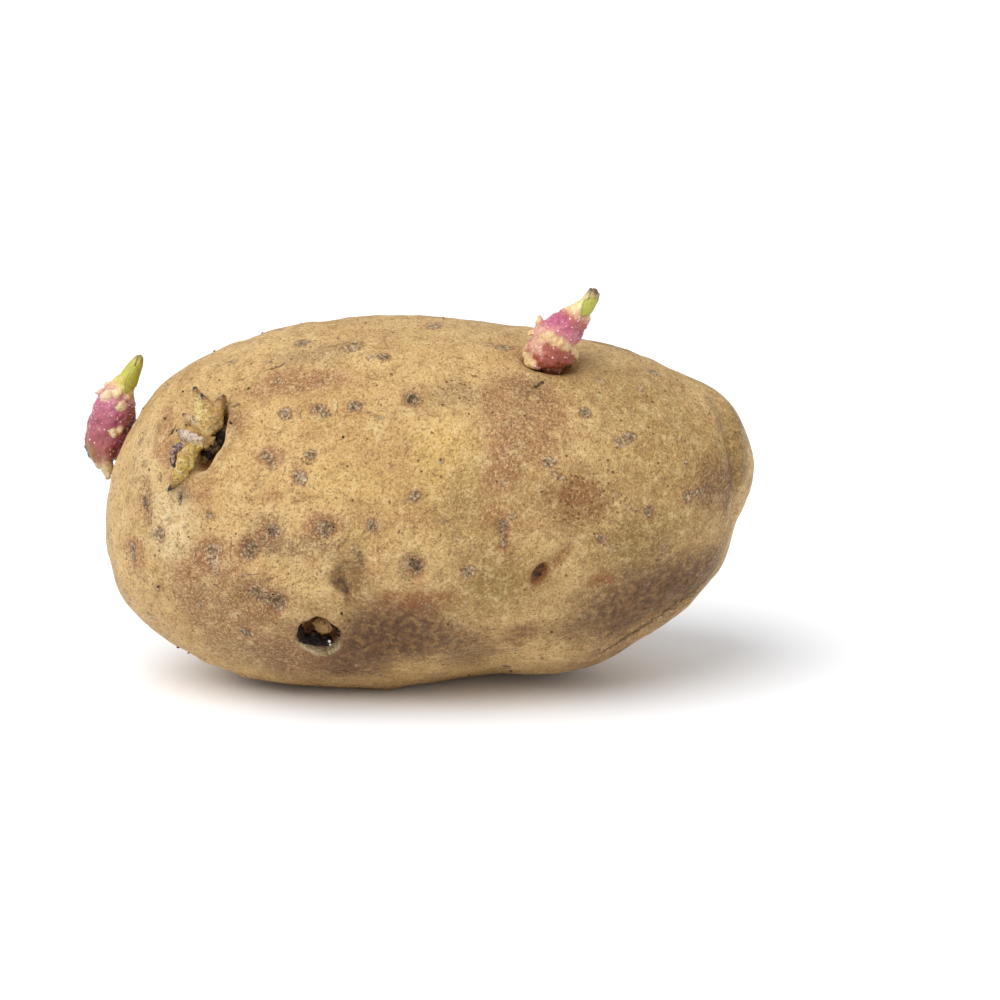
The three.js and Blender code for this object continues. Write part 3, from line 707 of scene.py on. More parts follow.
def tuber_surface(lenticels):
    """The tuber: the plain body, moved along its normals by the swells, the eyes' sockets and brows, the
    craters, a shallow ring for each corky spot, a groove for each nick, and smooth noise at four sizes, with
    two more where the skin is russet. The foot is cut flat at the height of the floor. Gives points, quads
    and what the skin's colours need."""
    directions, quads = box_sphere(GRID)
    points, normals = body(crowd(directions))
    stained = stains(points)
    height = np.full(len(points), -SKIN_TUCK)
    for swell in SWELLS:
        height += swell["high"] * bell(reach_of(points, swell)[0])
    inside, round_eye, cut_rim = np.zeros((3, len(points)))
    ragged = RAGGED_RIM * lattice_noise(points, 1.9, 21)
    for eye, darkness, foot in zip(EYES, EYE_DARKNESS, EYE_WALL_FOOT):
        reach, side = rim_of(points, eye, eye["bearing"], ragged)
        socket = 1 - smoothstep(reach, foot, SOCKET_EDGE)
        height += eye["brow"] * np.maximum(side, 0) * bell(reach - BROW_AT, BROW_WIDE) - eye["depth"] * socket
        inside = np.maximum(inside, darkness * (1 - smoothstep(reach, foot, 1.0)))
        round_eye = np.maximum(round_eye, 1 - smoothstep(reach, 1.0, 1.7))
    for eye, faces in CUT_RIMS:
        reach, side = rim_of(points, eye, faces, ragged)
        cut_rim = np.maximum(cut_rim, smoothstep(side, 0.2, 0.7) * bell(reach - CUT_RIM_AT, CUT_RIM_WIDE))
    for crater in CRATERS:
        reach = reach_of(points, crater)[0]
        rim = CRATER_RIM_HIGH * bell(reach - CRATER_RIM_AT, CRATER_RIM_WIDE)
        height += crater["depth"] * (rim - np.exp(-CRATER_STEEPNESS * reach**2))
    rng = np.random.default_rng(61)
    strewn = scattered(SCATTERED_NICKS, rng, (0.5, 1.4), (0.18, 0.3), (0.25, 0.55))
    spots = nearest_mark(points, lenticels)
    nicks = nearest_mark(points, marks(NICKS) + strewn)
    spot_reach = np.hypot(spots[:, 0], spots[:, 1])
    nick_reach = np.hypot(nicks[:, 0], nicks[:, 1])
    height += spots[:, 2] * (SPOT_RIM * bell(spot_reach - 1.0, 0.3) - SPOT_DENT * bell(spot_reach, 0.6))
    height -= NICK_DEPTH * nicks[:, 2] * bell(nick_reach, 1.1)
    height += relief(points, SKIN_RELIEF)
    height += stained[:, STAINS.index("russet")] * relief(points, RUSSET_RELIEF)
    points = points + height[:, None] * normals
    points[:, 2] = np.maximum(points[:, 2], 0)
    return points, quads, spots, nicks, (inside, round_eye, cut_rim), stained


def stains(points):
    """How much of each stain lies on each point: a sum of flat-topped bells round the patches' middles, with
    edges made ragged by moving the points about with smooth noise first."""
    ragged = jittered(points, 1.4, 3.6, (11, 12, 13))
    total = np.zeros((len(points), len(STAINS)))
    for along, around, long, wide, turn, amounts in PATCHES:
        feature = dict(along=along, around=around, long=long, wide=wide, turn=turn)
        shape = bell(reach_of(ragged, feature)[0] ** 1.6)
        for name, amount in amounts.items():
            total[:, STAINS.index(name)] += amount * shape
    return np.clip(total, 0, 1)


# Closed forms along a path


def smooth_path(points, count):
    """A smooth curve through the points, a cubic between each two whose slope at a point follows the points
    beside it, sampled count times at even steps of its length."""
    points = np.array(points, float)
    ends = np.concatenate([[2 * points[0] - points[1]], points, [2 * points[-1] - points[-2]]])
    share = np.linspace(0, len(points) - 1, 40 * len(points))
    step = np.minimum(share.astype(int), len(points) - 2)
    s = (share - step)[:, None]
    a, b, c, d = (ends[step + k] for k in range(4))
    curve = 0.5 * (2 * b + (c - a) * s + (2 * a - 5 * b + 4 * c - d) * s**2 + (3 * b - a - 3 * c + d) * s**3)
    length = np.concatenate([[0], np.cumsum(np.linalg.norm(np.diff(curve, axis=0), axis=1))])
    even = np.linspace(0, length[-1], count)
    return np.stack([np.interp(even, length, curve[:, k]) for k in range(curve.shape[1])], axis=-1)


def path_frames(path):
    """The tangent, the sideways axis across Y and the axis through, at each point of a path."""
    tangent = unit(np.gradient(path, axis=0))
    sideways = unit(np.cross([0.0, 1.0, 0.0], tangent))
    return tangent, sideways, np.cross(tangent, sideways)


def spindle(path, radii, rows, columns, flat=1.0, ridges=0, ridge_depth=0.0):
    """A closed spindle: circles carried along a smooth path, their radius a smooth curve through radii that
    closes to a point at both ends as a half round does, flattened through the path by flat, with ridges
    along it: a cosine of the angle times their number."""
    centre = smooth_path(path, rows)
    _, sideways, through = path_frames(centre)
    share = np.linspace(0, 1, rows)
    steps = 60
    profile = smooth_path([(r, 4.0 * i) for i, r in enumerate(radii)], steps)[:, 0]
    radius = np.interp(share, np.linspace(0, 1, steps), profile)
    end = np.minimum(share, 1 - share) / (radius.mean() / path_length(centre))
    radius = radius * np.sqrt(1 - (1 - np.clip(end, 0, 1)) ** 2)
    angle = np.linspace(0, 2 * math.pi, columns, endpoint=False)
    cosine, sine = np.cos(angle)[None, :, None], np.sin(angle)[None, :, None]
    ring = cosine * sideways[:, None] + flat * sine * through[:, None]
    ring = ring * (1 + ridge_depth * np.cos(ridges * angle))[None, :, None]
    return closed_rings(centre[:, None] + radius[:, None, None] * ring)


def path_length(path):
    return np.linalg.norm(np.diff(path, axis=0), axis=1).sum()


def closed_rings(points):
    """Points and faces of rings of points joined in order, with a fan to a pole at each end."""
    rows, columns = points.shape[:2]
    poles = np.stack([points[0].mean(0), points[-1].mean(0)])
    inner = points[1:-1].reshape(-1, 3)
    number = np.arange((rows - 2) * columns).reshape(rows - 2, columns)
    after = np.roll(number, -1, axis=1)
    quads = np.stack([number[:-1], after[:-1], after[1:], number[1:]], axis=-1).reshape(-1, 4)
    low, high = len(inner), len(inner) + 1
    fans = [(low, after[0, k], number[0, k]) for k in range(columns)]
    fans += [(high, number[-1, k], after[-1, k]) for k in range(columns)]
    return np.concatenate([inner, poles]), [tuple(q) for q in quads.tolist()] + fans


def egg(centre, pointing, radius, length, broad=1.0, rows=12, columns=16):
    """An ellipsoid, length from its middle to each end along the way it points and radius across, broad times
    as much to the sides."""
    pointing = unit(np.array(pointing, float))
    aside = unit(np.cross(pointing, [0.0, 0.1, 1.0]))
    up = np.linspace(-math.pi / 2, math.pi / 2, rows)
    angle = np.linspace(0, 2 * math.pi, columns, endpoint=False)
    ring = broad * np.cos(angle)[:, None] * aside + np.sin(angle)[:, None] * np.cross(pointing, aside)
    across = radius * np.cos(up)[:, None, None] * ring
    return closed_rings(np.array(centre) + length * np.sin(up)[:, None, None] * pointing + across)


def joined(parts):
    """One list of points and one of faces from several."""
    points, faces, start = [], [], 0
    for part_points, part_faces in parts:
        points.append(part_points)
        faces += [tuple(start + k for k in face) for face in part_faces]
        start += len(part_points)
    return np.concatenate(points), faces


# Pieces and what is stored on them


def shift():
    """How far the tuber's own frame lies from the frame of the whole, in millimetres: the CAD tuber's middle
    against the middle of the plain body's extent."""
    low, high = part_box("tuber")
    directions, _ = box_sphere((40, 40, 40))
    points, normals = body(directions)
    for swell in SWELLS:
        points = points + (swell["high"] * bell(reach_of(points, swell)[0]))[:, None] * normals
    own = (points.min(0) + points.max(0)) / 2
    return np.array([(low.x + high.x) / 2 / MM - own[0], (low.y + high.y) / 2 / MM - own[1], 0.0])


SHIFT = shift()


def make_piece(name, points, faces, material, node, slot):
    """A piece at the origin with its place in its mesh, riding on the potato and standing for a CAD node."""
    mesh = bpy.data.meshes.new(name)
    corners = faces if isinstance(faces, list) else faces.tolist()
    mesh.from_pydata(((points + SHIFT) * MM).tolist(), [], corners)
    mesh.validate()
    mesh.shade_smooth()
    mesh.materials.append(material)
    piece = bpy.data.objects.new(name, mesh)
    bpy.context.scene.collection.objects.link(piece)
    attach(piece, BODY)
    if node:
        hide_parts(node)
    return piece


def fuse(piece, voxel, passes):
    """Fuses a piece's overlapping forms into one skin of voxel millimetres, smooths it and gives its
    points."""
    remesh = piece.modifiers.new("fuse", "REMESH")
    remesh.mode = "VOXEL"
    remesh.voxel_size = voxel * MM
    soften = piece.modifiers.new("soften", "SMOOTH")
    soften.factor = 0.5
    soften.iterations = passes
    depsgraph = bpy.context.evaluated_depsgraph_get()
    fused = bpy.data.meshes.new_from_object(piece.evaluated_get(depsgraph))
    piece.modifiers.clear()
    old = piece.data
    piece.data = fused
    bpy.data.meshes.remove(old)
    fused.name = piece.name
    fused.shade_smooth()
    return points_of(piece)


def points_of(piece):
    """A piece's points in the tuber's own frame, in millimetres."""
    flat = np.empty(3 * len(piece.data.vertices))
    piece.data.vertices.foreach_get("co", flat)
    return flat.reshape(-1, 3) / MM - SHIFT


def raise_skin(piece, points, height):
    """Moves a piece's points along their normals."""
    raised = points + height[:, None] * normals_of(piece)
    piece.data.vertices.foreach_set("co", ((raised + SHIFT) * MM).ravel())
    piece.data.update()


def normals_of(piece):
    flat = np.empty(3 * len(piece.data.vertices))
    piece.data.vertices.foreach_get("normal", flat)
    return flat.reshape(-1, 3)


def hollowness(piece):
    """How far each point lies in a crease, below 0 on a ridge: the mean, over its edges, of how steeply an
    edge climbs along the point's normal, evened once between neighbours."""
    flat = np.empty(2 * len(piece.data.edges), int)
    piece.data.edges.foreach_get("vertices", flat)
    first, second = flat.reshape(-1, 2).T
    points, normals = points_of(piece), normals_of(piece)
    along = unit(points[second] - points[first])
    ends = np.concatenate([first, second])
    climbs = np.concatenate([(along * normals[first]).sum(1), -(along * normals[second]).sum(1)])
    count = np.maximum(np.bincount(ends, minlength=len(points)), 1)
    hollow = np.bincount(ends, climbs, len(points)) / count
    beside = np.bincount(ends, hollow[np.concatenate([second, first])], len(points)) / count
    return 0.5 * hollow + 0.5 * beside


def set_attribute(piece, name, *columns):
    """Stores up to three numbers for each point, for the material to read."""
    values = np.zeros((len(piece.data.vertices), 3), np.float32)
    for number, column in enumerate(columns):
        values[:, number] = column
    attribute = piece.data.attributes.new(name, "FLOAT_VECTOR", "POINT")
    attribute.data.foreach_set("vector", values.ravel())


# Nodes


def linear(code):
    """The linear colour of an sRGB hex code."""
    shares = [int(code[k : k + 2], 16) / 255 for k in (1, 3, 5)]
    return tuple(s / 12.92 if s <= 0.04045 else ((s + 0.055) / 1.055) ** 2.4 for s in shares)


def colour(tint):
    """The four numbers that a socket takes for an sRGB hex code or a linear colour."""
    return (*(linear(tint) if isinstance(tint, str) else tint), 1.0)


def add_node(tree, kind, inputs=None, **settings):
    """Adds a node, with its settings, and each input linked to a socket or set to a value."""
    node = tree.nodes.new(kind)
    for name, value in settings.items():
        setattr(node, name, value)
    for name, value in (inputs or {}).items():
        if isinstance(value, bpy.types.NodeSocket):
            tree.links.new(value, node.inputs[name])
        else:
            node.inputs[name].default_value = value
    return node


def pattern(tree, kind, place, size, **inputs):
    """The outputs of a texture of any kind, with features that are size millimetres wide."""
    return add_node(tree, kind, {"Vector": place, "Scale": 1 / (size * MM), **inputs}).outputs


def formula(tree, *terms):
    """A sum of terms, each the product of its factors. A factor is a number, a socket, or a socket and the
    two values between which it rises smoothly from 0 to 1, or from and to two more values after them."""

    def in_turn(operation, values):
        result, *others = values
        for value in others:
            result = add_node(tree, "ShaderNodeMath", {0: result, 1: value}, operation=operation).outputs[0]
        return result

    def spread(factor):
        if not isinstance(factor, tuple):
            return factor
        inputs = dict(zip(("Value", "From Min", "From Max", "To Min", "To Max"), factor))
        return add_node(tree, "ShaderNodeMapRange", inputs, interpolation_type="SMOOTHSTEP").outputs["Result"]

    return in_turn("ADD", [in_turn("MULTIPLY", [spread(factor) for factor in factors]) for factors in terms])


def coats(tree, under, layers):
    """Lays colours over one another: each layer is its colour, then the factors whose product is how much of
    it shows."""
    for tint, *factors in layers:
        inputs = {MIX_FACTOR: formula(tree, factors), MIX_A: under, MIX_B: colour(tint)}
        under = add_node(tree, "ShaderNodeMix", inputs, data_type="RGBA").outputs[MIX_RESULT]
    return under


def split(tree, name):
    """The three numbers of an attribute."""
    vector = add_node(tree, "ShaderNodeAttribute", attribute_name=name).outputs["Vector"]
    return add_node(tree, "ShaderNodeSeparateXYZ", {"Vector": vector}).outputs


def mark_reach(tree, name, wobble):
    """How far a point is from the middle of its nearest mark, 1 at the mark's edge, with an uneven edge, and
    the mark's darkness."""
    u, v, dark = split(tree, name)
    reach = add_node(tree, "ShaderNodeMath", {0: formula(tree, [u, u], [v, v])}, operation="SQRT").outputs[0]
    return formula(tree, [reach], wobble), dark


def shaken(tree, place, size, reach):
    """A place moved about by noise of size millimetres, by up to about reach millimetres."""
    noise = pattern(tree, NOISE, place, size)["Color"]
    inputs = {0: noise, 1: (2 * reach * MM,) * 3, 2: place}
    return add_node(tree, "ShaderNodeVectorMath", inputs, operation="MULTIPLY_ADD").outputs[0]


def dots(tree, place, size, share, radius):
    """Round dots, one in each cell of size millimetres, in as large a share of the cells as share says, with
    a radius given in cells."""
    cells = pattern(tree, CELLS, place, size)
    chance = add_node(tree, "ShaderNodeSeparateColor", {"Color": cells["Color"]}).outputs[0]
    chosen = add_node(tree, "ShaderNodeMath", {0: chance, 1: share}, operation="LESS_THAN").outputs[0]
    return formula(tree, [(cells["Distance"], radius, 0.5 * radius), chosen])


def new_material(name, roughness, specular=0.5):
    """A material, its tree and its shader, with the numbers that are the same all over."""
    material = bpy.data.materials.new(name)
    material.use_nodes = True
    shader = material.node_tree.nodes["Principled BSDF"]
    shader.inputs["Roughness"].default_value = roughness
    shader.inputs["Specular IOR Level"].default_value = specular
    return material, material.node_tree, shader


def object_place(tree):
    """The point's place on the object."""
    return add_node(tree, "ShaderNodeTexCoord").outputs["Object"]


def set_flesh(shader, weight, depth):
    """Lets a little light into wet plant flesh, depth millimetres deep, and most of the red."""
    shader.inputs["Subsurface Weight"].default_value = weight
    shader.inputs["Subsurface Radius"].default_value = (1.0, 0.5, 0.3)
    shader.inputs["Subsurface Scale"].default_value = depth * MM


def set_surface(tree, shader, base, height, strength, depth):
    """Links the base colour, and a bump up to depth millimetres high."""
    bump = add_node(tree, "ShaderNodeBump", {"Height": height, "Strength": strength, "Distance": depth * MM})
    tree.links.new(base, shader.inputs["Base Color"])
    tree.links.new(bump.outputs["Normal"], shader.inputs["Normal"])


def ramped(tree, value, ramp):
    """The colour at a value along a list of shares and hex codes."""
    node = add_node(tree, "ShaderNodeValToRGB", {"Fac": value})
    stops = node.color_ramp.elements
    while len(stops) < len(ramp):
        stops.new(0.5)
    for stop, (share, code) in zip(stops, ramp):
        stop.position = share
        stop.color = colour(code)
    return node.outputs["Color"]


# Materials


def skin_material(skin):
    """Suberised potato skin: a thin dry corky layer, matt with a faint waxy gloss, finely grained and
    flecked, with rough netted russet, scabby corky spots, dark nicks, and stains where it was bruised or
    healed."""
    material, tree, shader = new_material("potato_skin", 0.6, 0.4)
    place = object_place(tree)
    broad = pattern(tree, NOISE, place, 16.0, Detail=3.0)["Fac"]
    blotch = pattern(tree, NOISE, place, 4.5, Detail=4.0, Roughness=0.6)["Fac"]
    mottle = pattern(tree, NOISE, place, 2.3, Detail=3.0, Roughness=0.6)["Fac"]
    coarse = pattern(tree, NOISE, place, skin.net_size, Detail=4.0, Roughness=0.65)["Fac"]
    grain = pattern(tree, NOISE, place, skin.grain_size, Roughness=0.6)["Fac"]
    sand = pattern(tree, NOISE, place, 0.55 * skin.grain_size, Detail=1.0)["Fac"]
    inputs = {"Vector": shaken(tree, place, 0.9, 0.5), "Scale": 1 / (0.9 * skin.net_size * MM)}
    meshes = add_node(tree, CELLS, inputs, feature="DISTANCE_TO_EDGE").outputs["Distance"]
    crackle = formula(tree, [(meshes, 0.13, 0.03)])
    uneven = formula(tree, [coarse], [-0.5])
    fine_uneven = formula(tree, [grain], [-0.5])

    brown, pink, dark = split(tree, "stains_1")
    olive, yellow, grey = split(tree, "stains_2")
    rust, russet, pepper = split(tree, "stains_3")
    pale = split(tree, "stains_4")[0]
    inside, round_eye, cut_rim = split(tree, "socket")
    deep_inside = formula(tree, [inside], [uneven, 0.6])
    spot_reach, spot_dark = mark_reach(tree, "spot", [uneven, 1.9])
    nick_reach, nick_dark = mark_reach(tree, "nick", [fine_uneven, 1.6])

    ragged = formula(tree, [(coarse, 0.34, 0.6, 0.45, 1.1)])
    netted = formula(tree, [russet, (blotch, 0.3, 0.5, 0.35, 1.0)])
    rough = formula(tree, [netted, 0.3], [0.7])
    bright = formula(tree, [1.0], [dark, -0.8], [brown, -0.55])
    strong = formula(tree, [(spot_dark, 0.0, 0.6, 0.2, 0.9)])
    scab = formula(tree, [(spot_reach, 1.15, 0.85), strong])
    core = formula(tree, [(spot_reach, 0.85, 0.2), spot_dark])
    nick_core = formula(tree, [(nick_reach, 1.2, 0.5), nick_dark])
    pepper_share = formula(tree, [pepper, 0.93], [0.03])
    peppered = dots(tree, shaken(tree, place, 0.5, 0.25), 0.75, pepper_share, 0.42)
    big_pepper = dots(tree, shaken(tree, place, 0.8, 0.5), 2.6, 0.1, 0.12)
    layers = (
        (skin.pale, (broad, 0.35, 0.65), 0.7),
        (skin.ruddy, (blotch, 0.5, 0.68), 0.4),
        ("#dcc596", pale, ragged),
        ("#d2ae62", yellow, ragged),
        ("#896d34", olive, ragged),
        ("#a47552", pink, ragged),
        ("#877055", grey, ragged),
        ("#5c3916", brown, ragged),
        ("#8a4c1c", rust, ragged),
        ("#3a2612", dark, ragged),
        ("#935c34", (pink, 0.12, 0.3), (pink, 0.6, 0.4), ragged, 0.4),
        ("#a8794f", (spot_reach, 2.2, 1.2), strong, ragged, 0.36),
        ("#8c5731", (spot_reach, 1.45, 1.12), (spot_reach, 0.7, 0.95), strong, ragged, 0.85),
        ("#ab8d68", scab, 0.8),
        ("#6a452b", crackle, netted, 0.5),
        ("#86602f", (mottle, 0.48, 0.34), 0.42),
        ("#e0c48c", (mottle, 0.54, 0.68), bright, 0.4),
        (skin.fleck, (coarse, 0.47, 0.36), netted, 0.4),
        (skin.fleck, (grain, 0.46, 0.34), rough, 0.8),
        ("#6f4720", (sand, 0.43, 0.3), rough, 0.75),
        ("#dcbb80", (grain, 0.55, 0.68), rough, bright, 0.6),
        ("#d9c8ab", (grain, 0.5, 0.6), scab, 0.6),
        ("#5b4433", (grain, 0.48, 0.4), scab, 0.5),
        ("#ead0a0", (sand, 0.6, 0.72), rough, bright, 0.45),
        ("#653a12", peppered, 0.85),
        ("#38271a", big_pepper, 0.8),
        ("#3a281b", core, (coarse, 0.54, 0.42), 0.9),
        ("#543a26", crackle, scab, 0.5),
        ("#2a1a10", nick_core, (coarse, 0.65, 0.45, 0.2, 1.0)),
        ("#8a6040", round_eye, 0.22),
        ("#d2c194", cut_rim, 0.85),
        ("#9a6337", (inside, 0.05, 0.45), 0.85),
        ("#26170f", (deep_inside, 0.56, 0.86)),
    )
    bumps = formula(
        tree,
        [coarse, rough, 2.2],
        [coarse, 0.2],
        [grain, rough, 1.3],
        [blotch, 1.2],
        [scab, coarse, 1.6],
        [nick_core, -1.0],
        [core, -0.6],
    )
    tree.links.new(formula(tree, [(grain, 0.35, 0.65, 0.62, 0.48)]), shader.inputs["Roughness"])
    set_surface(tree, shader, coats(tree, colour(skin.base), layers), bumps, 0.9, 0.38)
    return material


def leaf_coats(tree, leaf):
    """The front leaf of a bud, yellow-green with a darker edge."""
    cover, edge, _ = split(tree, "leaf")
    return (leaf["inside"], cover, 0.9), ("#77801f", edge, 0.75)


def sprout_material(sprout, ramp, magenta, nub_colour):
    """Young potato sprout skin: moist, pink to purple with anthocyanin, dotted with the pale bases of fine
    hairs, its root nubs cream. ramp holds the colour at shares of the way up the stem."""
    material, tree, shader = new_material(sprout["name"] + "_skin", 0.42)
    place = object_place(tree)
    up, nub, hollow = split(tree, "growth")
    patchy = pattern(tree, NOISE, place, 1.8, Detail=3.0, Roughness=0.6)["Fac"]
    fine = pattern(tree, NOISE, place, 0.4, Roughness=0.6)["Fac"]
    uneven = formula(tree, [patchy], [-0.5])
    uneven_up = formula(tree, [up], [uneven, 0.2])
    ragged_nub = formula(tree, [nub], [uneven, 0.9])
    hair_feet = dots(tree, shaken(tree, place, 0.5, 0.15), 0.7, 0.8, 0.27)
    dark_feet = dots(tree, shaken(tree, place, 0.6, 0.2), 0.9, 0.35, 0.2)
    layers = (
        (magenta, (patchy, 0.5, 0.66), (up, 0.85, 0.7), (up, 0.25, 0.5), 0.7),
        # Each sprout's washes; the end sprout's last one is painted shade on its side towards the tuber.
        *(
            (code, tone, strength)
            for tone, (_, _, code, strength) in zip(split(tree, "tones"), sprout["washes"])
        ),
        ("#5f2630", (fine, 0.42, 0.3), 0.35),
        (nub_colour, (ragged_nub, 0.3, 0.95), 0.85),
        # Painted shade: brown laid into the creases between nubs, collar and stem.
        ("#8a4a2a", (hollow, 0.1, 0.35), 0.6),
        ("#4f1f35", dark_feet, 0.55),
        ("#f3ddd3", hair_feet, 0.8),
        *leaf_coats(tree, sprout["leaf"]),
    )
    set_flesh(shader, 0.15, 0.6)
    bumps = formula(tree, [fine, 0.8], [hair_feet, 0.8])
    set_surface(tree, shader, coats(tree, ramped(tree, uneven_up, ramp), layers), bumps, 0.7, 0.14)
    return material


def bud_material(sprout, ramp, vein):
    """Young leaves folded in a bud: smooth and slightly waxy, cream at the foot, then yellow-green, with fine
    veins along them, and dark brown laid into the folds between them as painted shade."""
    material, tree, shader = new_material(sprout["name"] + "_leaf", 0.4)
    place = object_place(tree)
    up, hollow, _ = split(tree, "growth")
    along = add_node(tree, "ShaderNodeMapping", {"Vector": place, "Scale": (1.0, 1.0, 0.3)}).outputs[0]
    veins = pattern(tree, NOISE, along, 0.28, Roughness=0.6)["Fac"]
    patchy = pattern(tree, NOISE, place, 1.1)["Fac"]
    uneven_up = formula(tree, [up], [patchy, 0.16], [-0.08])
    layers = (
        *leaf_coats(tree, sprout["leaf"]),
        (vein, (veins, 0.52, 0.68), 0.45),
        # Painted shade: dark brown in the folds.
        ("#4a3a16", (hollow, 0.06, 0.25), 0.9),
    )
    set_flesh(shader, 0.2, 0.6)
    set_surface(tree, shader, coats(tree, ramped(tree, uneven_up, ramp), layers), veins, 0.4, 0.08)
    return material


def withered_material():
    """A sprout that dried on the tuber: waxy straw yellow, with grey-white skin on some lobes, leathery brown
    to black where it died back, and dark brown laid into its creases as painted shade."""
    material, tree, shader = new_material("withered_sprout", 0.45)
    place = object_place(tree)
    tip, pale, tan = split(tree, "growth")
    hollow, scab, _ = split(tree, "decay")
    patchy = pattern(tree, NOISE, place, 1.2, Detail=3.0, Roughness=0.6)["Fac"]
    fine = pattern(tree, NOISE, place, 0.35, Roughness=0.6)["Fac"]
    vein = pattern(tree, NOISE, place, 1.6, Detail=3.0, Roughness=0.6, Distortion=1.2)["Fac"]
    signed = formula(tree, [vein], [-0.5])
    off_vein = add_node(tree, "ShaderNodeMath", {0: signed}, operation="ABSOLUTE").outputs[0]
    rough_scab = formula(tree, [scab], [fine], [-0.55])
    dry = formula(tree, [tip], [patchy, 0.6], [-0.3])
    layers = (
        ("#d8c888", (patchy, 0.45, 0.6), 0.7),
        ("#a67a38", (patchy, 0.45, 0.32), 0.7),
        ("#c9b7a4", (pale, 0.1, 0.9)),
        ("#a57c46", (tan, 0.1, 0.9), 0.85),
        ("#55381a", (off_vein, 0.03, 0.008), 0.75),
        ("#7d5220", (dry, 0.66, 0.84), 0.85),
        ("#5f4220", (fine, 0.56, 0.66), 0.6),
        ("#5a4040", (rough_scab, 0.35, 0.6), 0.95),
        ("#a58a70", scab, (fine, 0.5, 0.6), 0.8),
        ("#22140f", scab, (fine, 0.46, 0.38), 0.85),
        # Painted shade: dark brown in the creases between and along the lobes.
        ("#38210f", (hollow, 0.05, 0.22), 0.9),
        ("#20150c", (dry, 0.86, 0.94)),
    )
    set_flesh(shader, 0.1, 0.5)
    set_surface(tree, shader, coats(tree, colour("#c2a040"), layers), fine, 0.6, 0.14)
    return material


def dead_material():
    """A bud that rotted and dried: dull, leathery near-black skin, tan and brown where the tissue under it
    shows, darker still in its creases as painted shade, with two near-white specks that are painted glints."""
    material, tree, shader = new_material("dead_tissue", 0.6, 0.12)
    place = object_place(tree)
    tan, hollow, painted_glint = split(tree, "growth")
    patchy = pattern(tree, NOISE, place, 0.9, Detail=3.0, Roughness=0.6)["Fac"]
    fine = pattern(tree, NOISE, place, 0.3, Roughness=0.6)["Fac"]
    layers = (
        ("#4a2a14", (patchy, 0.52, 0.66), 0.7),
        ("#98794a", (tan, 0.35, 0.75)),
        ("#c9ad84", (fine, 0.6, 0.7), tan, 0.6),
        ("#4a2e16", (patchy, 0.46, 0.36), tan, 0.8),
        # Painted shade: near-black laid into the creases.
        ("#1b100a", (hollow, 0.08, 0.3), 0.8),
        # Painted glints: near-white where the two specks lie.
        ("#ded8ca", (painted_glint, 0.3, 0.7)),
    )
    set_surface(tree, shader, coats(tree, colour("#0f0805"), layers), fine, 0.7, 0.15)
    return material


def soil_material():
    """Dry garden soil: matt, near-black brown."""
    material, tree, shader = new_material("dry_soil", 0.85, 0.2)
    place = object_place(tree)
    grain = pattern(tree, NOISE, place, 0.3)["Fac"]
    base = coats(tree, colour("#35271a"), [("#6a5238", (grain, 0.45, 0.6))])
    tree.links.new(base, shader.inputs["Base Color"])
    return material


def plain_material(name, tint, roughness, specular):
    """A material of one colour: fine plant hairs, which are nearly colourless threads that catch the light,
    and the paper sweep, which is matt."""
    material, _, shader = new_material(name, roughness, specular)
    shader.inputs["Base Color"].default_value = colour(tint)
    return material


# The pieces one by one


def make_tuber(settings):
    """The tuber in its skin, with its stains and marks stored for the material."""
    rng = np.random.default_rng(17)
    lenticels = marks(SPOTS) + scattered(settings.lenticels, rng, (0.4, 1.1), (0.35, 0.9), (0.08, 0.42))
    points, quads, spots, nicks, socket, stained = tuber_surface(lenticels)
    piece = make_piece("potato_tuber", points, quads, skin_material(settings), "tuber", "potato_skin")
    for number in range(4):
        set_attribute(piece, f"stains_{number + 1}", *stained[:, 3 * number : 3 * number + 3].T)
    set_attribute(piece, "spot", *spots.T)
    set_attribute(piece, "nick", *nicks.T)
    set_attribute(piece, "socket", *socket)
    return piece


def from_eye(sprout, offsets):
    """Points given from the skin at a sprout's eye."""
    return place_on_skin(sprout["eye"]["along"], sprout["eye"]["around"]) + np.array(offsets)


def root_nubs(sprout):
    """The middles, directions, sizes and creaminess of a sprout's root nubs: those that the front shows, and
    rings of them round the back with a seeded unevenness."""
    rng = np.random.default_rng(sprout["seed"])
    rows = [(*row, number in sprout["cream"]) for number, row in enumerate(sprout["front_nubs"])]
    for ring_up, count, size in sprout["back_rings"]:
        for k in range(count):
            turn = 10 + 160 * (k + rng.random()) / count
            up = ring_up + 0.08 * (rng.random() - 0.5)
            rows.append((up, turn, -0.1, size * rng.uniform(0.75, 1.2), True))
    spine = smooth_path(from_eye(sprout, sprout["spine"]), 200)
    _, sideways, through = path_frames(spine)
    radii = np.interp(np.linspace(0, 1, 200), np.linspace(0, 1, len(sprout["stem"])), sprout["stem"])
    nubs = []
    for up, turn, out, size, cream in rows:
        step = int(199 * np.clip(up, 0, 1))
        angle = math.radians(turn)
        pointing = math.cos(angle) * sideways[step] + math.sin(angle) * through[step]
        nubs.append((spine[step] + (0.9 * radii[step] + out) * pointing, pointing, size, cream))
    return nubs


def nearest_on_path(points, path):
    """The share of the way along a path of the path's point that is nearest to each point, and how far."""
    distance = np.linalg.norm(points[:, None] - path[None], axis=-1)
    nearest = distance.argmin(axis=1)
    return nearest / (len(path) - 1), distance.min(axis=1)


def on_leaf(sprout, points):
    """How much each point lies on the front leaf, a pointed oval seen from the front that covers the neck and
    the bud, and how much on its edge."""
    leaf = sprout["leaf"]
    pointing = unit(np.array(leaf["pointing"]))
    offset = points - from_eye(sprout, leaf["centre"])
    long_share = offset @ pointing / leaf["long"]
    wide_share = offset @ np.cross(pointing, [0.0, 1.0, 0.0]) / leaf["wide"]
    reach = long_share**2 + np.abs(wide_share) + 0.12 * lattice_noise(points, 0.8, 34)
    front = 1 - smoothstep(offset[:, 1], 0.8, 1.4)
    return front * (1 - smoothstep(reach, 0.85, 1.0)), front * bell(reach - 0.95, 0.13)


